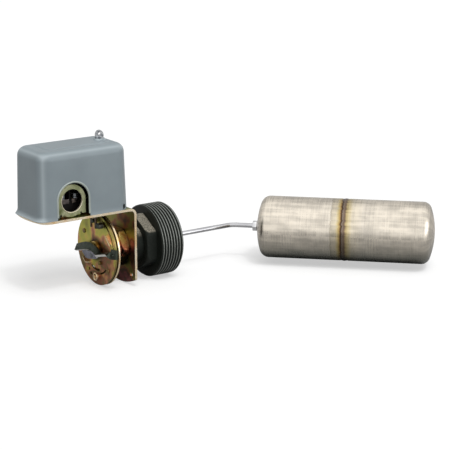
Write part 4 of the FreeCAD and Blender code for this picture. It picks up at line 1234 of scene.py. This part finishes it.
@dataclass
class FloatArm:
    """The bent rod, its jam nut and the welded float."""

    rod_r: float = 2.4
    rod_x0: float = -57.6
    bend_x: float = 108.3
    bend_deg: float = 45.0
    bend_r: float = 13.0
    float_start: float = 27.6
    float_length: float = 181.3
    float_r: float = 31.7
    knuckle_r: float = 9.0
    crown_r: float = 80.0
    bead_half: float = 1.9
    bead_height: float = 0.3
    puddle: float = 1.7
    # Hollow beside the bead, where the heat sank the wall: its depth, place and width
    sunk: tuple[float, float, float] = (0.25, 3.0, 0.9)
    # Half the band of close rows round the bead, and how far the rod goes into the float
    fine_half: float = 4.5
    socket_depth: float = 11.0

    def direction(self) -> np.ndarray:
        """Direction of the rod past its bend."""
        bend = math.radians(self.bend_deg)
        return np.array([math.cos(bend), -math.sin(bend), 0.0])

    def past_bend(self, length: float) -> np.ndarray:
        """Point of the rod's axis at a length past its bend."""
        return np.array([self.bend_x, 0, 0]) + self.direction() * length

    def rod_path(self) -> np.ndarray:
        """Straight, an arc of the bend's radius, and straight again into the float.

        Returns:
            Points of the rod's axis, n by 3.
        """
        back = math.tan(math.radians(self.bend_deg / 2)) * self.bend_r
        bend = np.linspace(0, math.radians(self.bend_deg), 25)
        curve = arc(self.bend_x - back, -self.bend_r, self.bend_r, HALF_TURN / 2 - bend)
        return np.concatenate([[(self.rod_x0, 0, 0), (self.rod_x0 + 1, 0, 0)], np.insert(curve, 2, 0.0, axis=1),
                               [self.past_bend(self.float_start + self.socket_depth)]])

    def half_profile(self) -> np.ndarray:
        """From the tip of one end to its wall: the shallow crown's arc, then the knuckle's quarter turn.

        Returns:
            Lengths from the can's middle, and radii, n by 2.
        """
        r, k, crown, half = self.float_r, self.knuckle_r, self.crown_r, self.float_length / 2
        rise = math.sqrt((crown - k) ** 2 - (r - k) ** 2)
        meet = math.asin((r - k) / (crown - k))
        return np.concatenate([arc(half - crown, 0.0, crown, np.linspace(0, meet, 14)),
                               arc(half - crown + rise, r - k, k, np.linspace(meet, HALF_TURN / 2, 14)[1:])])

    def build(self, shop: Workshop) -> None:
        """Makes the rod, the nut and the float with its weld bead.

        Args:
            shop: the shared solids and finishes.
        """
        rod = mesh_object("bent_rod", swept(self.rod_path(), circle(self.rod_r, 32), np.array([0.0, 0.0, 1.0])))
        shop.dress(rod, Body.SWING, "drawn_stainless", "rod")
        shop.softened("float_nut", 0.35, Body.SWING, "faced_stainless", Slot.STAINLESS)
        centre, end = tuple(self.past_bend(self.float_start + self.float_length / 2)), -self.float_length / 2
        x, y, _ = self.direction()
        axis = Axis(centre, (x, y, 0.0), (-y, x, 0.0))
        can = mesh_object("float_can", self.can(axis))
        boss = round_corners([(end + 2.0, self.rod_r), (end + 2.0, 5.6), (end + 0.1, 4.6), (end - 0.55, 4.2),
                              (end - 0.55, self.rod_r)], 0.4)
        socket = mesh_object("float_boss", turned(boss, axis, 48))
        steel = TintedStainless(centre, -self.bend_deg, self.float_r)
        shop.made["rolled_stainless"] = steel.build("rolled_stainless")
        shop.dress(can, Body.SWING, "rolled_stainless", "float", 50.0)
        shop.dress(socket, Body.SWING, "drawn_stainless")

    def can(self, axis: Axis) -> Grid:
        """Closed can: both domed ends, a straight wall, and a low rippled bead round the middle.

        The bead's height is a cosine hump over 4 mm, rippled along the seam, as a weld's puddles are.

        Args:
            axis: the can's axis, from its middle.

        Returns:
            The can's surface.
        """
        end = self.half_profile()
        edge = end[-1, 0]
        fine = self.fine_half
        wall = np.concatenate([np.linspace(edge, fine, 14)[1:], np.linspace(fine, -fine, 37)[1:],
                               np.linspace(-fine, -edge, 14)[1:-1]])
        length = np.concatenate([end[:, 0], wall, -end[::-1, 0]])[:, None]
        radius = np.concatenate([end[:, 1], np.full(len(wall), self.float_r), end[::-1, 1]])[:, None]
        angle = full_turn(240)
        hump = 0.5 + 0.5 * np.cos(HALF_TURN * np.clip(length / self.bead_half, -1, 1))
        puddles = round(FULL_TURN * self.float_r / self.puddle)
        ripple = 1 - 0.35 * np.abs(np.sin(0.5 * puddles * angle + 0.9 * length))
        depth, beside, wide = self.sunk
        dip = depth * np.exp(-((np.abs(length) - beside) / wide) ** 2)
        return axis.grid(length, radius + self.bead_height * hump * ripple - dip, angle)


@dataclass
class Trip:
    """The two discs on the shaft, what stands on them, and the grey lever across them."""

    disc_x: float = -54.2
    seat_x: float = -57.2
    # Coil's post: Y and Z
    spring: tuple[float, float] = (-12.5, 26.6)
    # Each strip runs through stations: Y, how far out it stands, Z, half width, and degrees from upright
    blade: tuple[tuple[float, ...], ...] = (
        (27.0, 3.9, -3.0, 3.4, 31), (20.0, 3.4, -0.9, 4.0, 30), (11.5, 3.0, 1.7, 4.1, 27),
        (3.0, 2.4, 3.1, 3.6, 20), (-6.5, 2.4, 1.3, 3.5, 20), (-11.0, 2.8, -0.4, 3.2, 44),
        (-15.0, 3.9, -1.6, 3.4, 80), (-35.0, 4.3, 3.8, 3.6, 80), (-37.2, 4.1, 4.2, 4.6, 44),
        (-39.5, 3.6, 4.5, 5.0, 8), (-48.0, 3.4, 5.6, 4.6, 4))
    flange: tuple[tuple[float, ...], ...] = (
        (16.2, 2.6, -4.1, 1.3, -14), (10.6, 2.1, -6.4, 4.6, -14), (-1.0, 2.0, -4.7, 4.2, -14),
        (-7.0, 2.1, -4.5, 3.0, -14), (-12.6, 2.5, -3.3, 1.2, -14))
    # Foot: half width, bottom, top and thickness; holes: Y, Z, radius and the two ends
    foot: tuple[float, ...] = (4.2, -7.6, -2.5, 2.0)
    holes: tuple[tuple[float, ...], ...] = (
        (-42.5, 4.4, 1.6, -66.0, -55.0), (0.0, -5.0, 1.65, -66.0, -55.0), (0.0, -5.0, 2.55, -66.0, -59.9))
    half_t: float = 1.1
    # Where the end plate and the flat part of the blade begin
    plate_y: float = -37.0
    blade_y: float = -9.0

    def build(self, shop: Workshop) -> None:
        """Dresses the discs, then makes the lever, the coil and the small pieces.

        Args:
            shop: the shared solids and finishes.
        """
        # The front disc's standing tabs and the back disc's rims take the cream painted highlight
        shop.softened("front_disc", 0.3, Body.SWING, "chromate_front_disc", Slot.GOLD, "olive_rim", "cream_and_rim_highlight",
                      zone=self.disc_zone)
        shop.softened("back_disc", 0.3, Body.SWING, "chromate_back_disc", Slot.GOLD, "cream_and_rim_highlight",
                      zone=lambda centre, normal: int(abs(normal.x) < 0.5), rounded=1)
        shop.coat("turned_brass", "hub")
        shop.coat("chromate_back_disc", "disc_spacer")
        for node, edge, finish, slot in (("hub_nut", 0.5, "gilt_hub_painted_light", Slot.BRASS),
                                         ("disc_rivets", 0.25, "chromate_back_disc", Slot.GREY_STEEL),
                                         ("loop_pin", 0.25, "cream_and_rim_highlight", Slot.GREY_STEEL),
                                         ("stop_boss", 0.3, "olive_rim", Slot.GREY_STEEL),
                                         ("spring_post", 0.25, "dark_steel_and_shade", Slot.GREY_STEEL),
                                         ("drive_pin", 0.25, "dark_steel_and_shade", Slot.GREY_STEEL),
                                         ("lever_screw", 0.2, "dull_zinc", Slot.ZINC)):
            shop.softened(node, edge, Body.SWING, finish, slot)
        self.make_lever(shop)
        self.make_coil(shop)

    def disc_zone(self, centre: Vector, normal: Vector) -> int:
        """Finish of a face of the front disc: 0 for its flat, 1 for its rim and slots, 2 for standing tabs,
        which get a painted highlight.

        Args:
            centre: the face's centre.
            normal: its direction.

        Returns:
            The number of its finish.
        """
        if centre.x < (self.disc_x - 0.2) * MM:
            return 2
        return int(abs(normal.x) < 0.5)

    def strip(self, name: str, stations: Sequence[tuple[float, ...]], steps: int, blur: int) -> Object:
        """Strip of rounded section whose place, width and lean run smoothly from bend to bend.

        Args:
            name: the piece's name.
            stations: Y, stand-off, Z, half width and lean at each bend, from +Y to -Y.
            steps: rows along the strip.
            blur: odd number of rows over which each bend is smoothed.

        Returns:
            The closed strip.
        """
        table = np.array(stations)
        even = np.linspace(table[0, 0], table[-1, 0], steps)
        kernel = np.hanning(blur + 2)[1:-1]
        smooth = []
        for column in table.T:
            values = np.pad(np.interp(-even, -table[:, 0], column), blur // 2, mode="edge")
            smooth.append(np.convolve(values, kernel / kernel.sum(), mode="valid"))
        _, out, z, half_width, degrees = smooth
        lean = np.radians(degrees)
        path = np.stack([self.seat_x - out, even, z], axis=1)
        across = np.stack([np.sin(lean), 0 * lean, np.cos(lean)], axis=1)
        t, reach = self.half_t, 6.0
        section = round_corners([(reach, -t), (reach, t), (-reach, t), (-reach, -t)], 0.25, steps=3)
        scale = (half_width / reach)[:, None, None] * np.array([1.0, 0.0]) + np.array([0.0, 1.0])
        return mesh_object(name, swept(path, section * scale, across))

    def make_lever(self, shop: Workshop) -> None:
        """Joins blade, flange and foot, cuts the holes, and tones the faces: painted shade on upper faces and
        the end plate, the plain face in front, a painted highlight on cut edges.

        Args:
            shop: the shared solids and finishes.
        """
        lever = self.strip("lever_strip", self.blade, 160, 9)
        flange = self.strip("lever_flange", self.flange, 60, 5)
        half, low, high, thick = self.foot
        ring = np.array([(-half, low), (half, low), (half, high), (-half, high)])
        foot = prism("lever_foot", ring, 0, (self.seat_x - thick, self.seat_x))
        combine(lever, [flange, foot], "UNION")
        holes = []
        for number, (y, z, r, *ends) in enumerate(self.holes):
            profile = np.array([(end, r) for end in ends])
            holes.append(mesh_object(f"lever_hole_{number}", turned(profile, Axis((0.0, y, z)), 32, False)))
        combine(lever, holes, "DIFFERENCE")
        shop.dress(lever, Body.SWING, "lever_face", "twist_lever", 38.0)
        # Painted shade and painted highlight, which tone hands out by face
        for name in ("dark_steel_and_shade", "lever_edge"):
            lever.data.materials.append(shop.finish(name))
        for face in lever.data.polygons:
            face.material_index = self.tone(face.center, face.normal)

    def tone(self, centre: Vector, normal: Vector) -> int:
        """Finish of a face of the lever: 0 for its front, 1 for painted shade on what lies back or up and on
        the end plate, 2 for a painted highlight on a cut edge.

        Args:
            centre: the face's centre.
            normal: its direction.

        Returns:
            The number of its finish.
        """
        if centre.y < self.plate_y * MM:
            return 1
        if centre.y < self.blade_y * MM:
            return 2 if normal.x < -0.3 and normal.z < 0.3 else 1
        if normal.z > 0.25 or normal.x > 0.3:
            return 1
        return 2 if normal.z < -0.3 or normal.z > -0.18 else 0

    def make_coil(self, shop: Workshop) -> None:
        """Close-wound coil: a wire of 1 mm on a helix round its post.

        Args:
            shop: the shared solids and finishes.
        """
        turns, pitch, radius, wire = 3.6, 1.35, 2.75, 0.5
        share = np.linspace(0, 1, 160)
        outward = np.insert(arc(0.0, 0.0, 1.0, FULL_TURN * turns * share), 0, 0.0, axis=1)
        path = outward * radius + np.array([self.disc_x - 0.55, *self.spring])
        path[:, 0] -= pitch * turns * share
        coil = mesh_object("wire_coil", swept(path, circle(wire), outward))
        shop.dress(coil, Body.SWING, "spring_wire", "coil_spring")


@dataclass
class Bracket:
    """The folded bracket, the inner conduit frame and their rivets."""

    # Conduit hole: X and Z
    hole: tuple[float, float] = (-94.9, 59.6)
    hole_r: float = 11.1
    ear_y: float = 24.9
    # Pale bead round each conduit hole, a painted highlight: its radius, how far outside the hole it runs, and
    # the arc it covers in degrees
    rim_r: float = 0.42
    rim_outside: float = 0.35
    rim_deg: tuple[float, float] = (150.0, 352.0)
    plate_end: float = -120.0
    plate_side: float = 28.0

    def build(self, shop: Workshop) -> None:
        """Rounds the folded sheets' edges, paints their cut edges paler as a highlight, and adds a pale bead
        round each conduit hole as a painted highlight.

        Args:
            shop: the shared solids and finishes.
        """
        shop.softened("bracket", 0.35, Body.BASE, "chromate_plate", Slot.GOLD, "chromate_edge_highlight",
                      zone=self.plate_zone)
        # The frame's cut edges get the pale painted highlight
        shop.softened("conduit_frame", 0.25, Body.BASE, "olive_film", Slot.OLIVE, "olive_edge_highlight",
                      zone=lambda centre, normal: int(abs(normal.y) < 0.5 and abs(normal.z) < 0.97))
        # A pale bead round part of each conduit hole, painted as a highlight
        flat = arc(0.0, 0.0, 1.0, np.radians(np.linspace(*self.rim_deg, 61)))
        outward = np.insert(flat, 1, 0.0, axis=1)
        for name, side in (("front", -1.0), ("back", 1.0)):
            middle = np.array([self.hole[0], self.ear_y * side, self.hole[1]])
            rim = swept(middle + (self.hole_r + self.rim_outside) * outward, circle(self.rim_r), outward)
            shop.dress(mesh_object(f"hole_rim_{name}", rim), Body.BASE, "olive_edge_highlight")
        for node in ("frame_rivets", "pivot_bracket"):
            shop.softened(node, 0.2, Body.BASE, "olive_film", Slot.OLIVE)

    def plate_zone(self, centre: Vector, normal: Vector) -> int:
        """Finish of a face of the folded plate: 1 for its outer cut edges, painted paler as a highlight, 0 for
        the rest and its holes.
        """
        beside = abs(centre.y) > self.plate_side * MM and abs(normal.y) > 0.4
        return int(beside or centre.x < self.plate_end * MM and abs(normal.z) < 0.5)


@dataclass
class SwitchBlock:
    """The moulded block with its terminals, the sliding contacts and the trip lever, under the cover."""

    # How far each kind of piece has its edges rounded
    block_edge: float = 0.35
    carrier_edge: float = 0.3
    bridge_edge: float = 0.12
    stamped_edge: float = 0.15
    screw_edge: float = 0.25
    lever_edge: float = 0.2

    def build(self, shop: Workshop) -> None:
        """Finishes the pieces that show through the conduit holes or with the cover lifted.

        Args:
            shop: the shared solids and finishes.
        """
        shop.softened("contact_block", self.block_edge, Body.BASE, "phenolic", Slot.MOULDING)
        shop.softened("contact_carrier", self.carrier_edge, Body.CARRIER, "phenolic", Slot.MOULDING)
        for side in ("front", "back"):
            shop.softened(f"bridge_{side}", self.bridge_edge, Body.CARRIER, "turned_brass", Slot.BRASS)
            # The terminals take the nickel darkened as painted shade
            for letter in ("a", "b"):
                shop.softened(f"terminal_{side}_{letter}", self.stamped_edge, Body.BASE, "nickel_in_painted_shade",
                              Slot.BRASS)
        shop.softened("bridge_rivets", self.stamped_edge, Body.CARRIER, "turned_brass", Slot.BRASS)
        for node in ("terminal_screws", "block_screws", "pivot_rivets", "lever_pin"):
            shop.softened(node, self.screw_edge, Body.BASE, "dull_zinc", Slot.ZINC)
        shop.softened("trip_lever", self.lever_edge, Body.LEVER, "brown_steel", Slot.GREY_STEEL)


@dataclass
class Studio:
    """Plain pale floor, soft light from above and the camera at the photograph's angle."""

    azimuth_deg: float = -35.31
    elevation_deg: float = 14.71
    distance: float = 1705.0
    view_deg: float = 15.0
    target: Point = (69.0, -44.0, 15.0)
    # Two suns from one side: name, strength and how wide each is in degrees
    lamps: tuple[tuple[str, float, float], ...] = (("overhead_softbox", 1.55, 40.0), ("small_lamp", 0.6, 7.0))
    lamps_from: Point = (-0.12, -0.58, 1.0)
    sky: float = 0.42
    # What metals mirror: each lobe's direction, then the facing and the brightness where it starts and is full
    lobes: tuple[tuple[Point, tuple[float, ...]], ...] = (
        ((-0.3, -0.55, 0.78), (-0.1, 0.7, 0.55, 1.05)), ((0.585, -0.81, 0.04), (0.8, 0.97, 0.0, 1.5)))
    floor_half: float = 40.0
    floor_lift: float = 0.5
    floor_bounce: str = "#B2B2B2"
    floor_seen: str = "#C2C2C2"
    white: str = "#FFFFFF"

    def build(self, floor_z: float) -> None:
        """Sets up the view, the floor, the light and the camera.

        Args:
            floor_z: height of the floor, in metres.
        """
        scene = bpy.context.scene
        scene.view_settings.view_transform = "Standard"
        self.make_floor(floor_z)
        self.make_world(scene)
        self.make_lamps(scene)
        self.make_camera(scene)

    def make_floor(self, floor_z: float) -> None:
        """A wide pale sheet that takes the shadows and is lifted to white where nothing shades it.

        Args:
            floor_z: its height, in metres.
        """
        corners = [(x * self.floor_half, y * self.floor_half, floor_z)
                   for x, y in ((-1, -1), (1, -1), (1, 1), (-1, 1))]
        mesh = bpy.data.meshes.new("floor")
        mesh.from_pydata(corners, [], [(0, 1, 2, 3)])
        material = bpy.data.materials.new("pale_sheet")
        add = blank_nodes(material)
        seen = add("LightPath", out="Is Camera Ray")
        tone = add("Mix", {0: seen, 6: linear(self.floor_bounce), 7: linear(self.floor_seen)}, 2,
                   data_type="RGBA")
        lift = add("Math", (seen, self.floor_lift), operation="MULTIPLY")
        matt = add("BsdfDiffuse", {"Color": tone})
        glow = add("Emission", {"Color": linear(self.white), "Strength": lift})
        add("OutputMaterial", {"Surface": add("AddShader", (matt, glow))})
        mesh.materials.append(material)
        place_object("floor", mesh)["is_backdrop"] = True

    def make_world(self, scene: Scene) -> None:
        """White to the camera, an even light on matt faces, and two soft lobes in what metals mirror.

        Args:
            scene: the scene that it lights.
        """
        scene.world = bpy.data.worlds.new("studio")
        add = blank_nodes(scene.world)
        path = add("LightPath").node.outputs
        where = add("TexCoord", out="Generated")
        lit = []
        for towards, span in self.lobes:
            facing = add("VectorMath", (where, towards), "Value", operation="DOT_PRODUCT")
            lit.append(add("MapRange", (facing, *span), interpolation_type="SMOOTHSTEP"))
        total = add("Math", lit, operation="ADD")
        mirrored = add("Mix", {0: path["Is Glossy Ray"], 2: self.sky, 3: total})
        strength = add("Mix", {0: path["Is Camera Ray"], 2: mirrored, 3: 1.0})
        surface = add("Background", {"Color": linear(self.white), "Strength": strength})
        add("OutputWorld", {"Surface": surface})

    def make_lamps(self, scene: Scene) -> None:
        """A broad soft light from above and the camera's side, and a small one that draws the rod's shadow.

        Args:
            scene: the scene that they light.
        """
        for name, strength, spread in self.lamps:
            lamp = bpy.data.lights.new(name, "SUN")
            lamp.energy, lamp.angle = strength, math.radians(spread)
            held = bpy.data.objects.new(name, lamp)
            held.rotation_euler = Vector(self.lamps_from).to_track_quat("Z", "Y").to_euler()
            held.visible_glossy = False
            scene.collection.objects.link(held)

    def make_camera(self, scene: Scene) -> None:
        """Camera at the fitted azimuth, elevation and distance, level, looking at the target.

        Args:
            scene: the scene that it looks at.
        """
        a, e = math.radians(self.azimuth_deg), math.radians(self.elevation_deg)
        back = Vector((math.sin(a) * math.cos(e), -math.cos(a) * math.cos(e), math.sin(e)))
        right = Vector((math.cos(a), math.sin(a), 0.0))
        eye = (Vector(self.target) + back * self.distance) * MM
        lens = bpy.data.cameras.new("camera")
        lens.sensor_fit, lens.angle = "HORIZONTAL", math.radians(self.view_deg)
        lens.clip_end = 200.0
        camera = bpy.data.objects.new("camera", lens)
        turn = Matrix((right, back.cross(right), back)).transposed().to_4x4()
        camera.matrix_world = Matrix.Translation(eye) @ turn
        scene.collection.objects.link(camera)
        scene.camera = camera


def main() -> None:
    """Builds the assemblies in order round the fixed solids, then the studio."""
    logging.basicConfig(level=logging.INFO, format="%(message)s")
    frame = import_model()
    cad_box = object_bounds()
    shop = Workshop(frame["nodes"])
    for assembly in (Cover(), Bracket(), SwitchBlock(), Plug(), Trip(), FloatArm()):
        assembly.build(shop)
    Studio().build(cad_box[0][2])


if __name__ == "__main__":
    main()
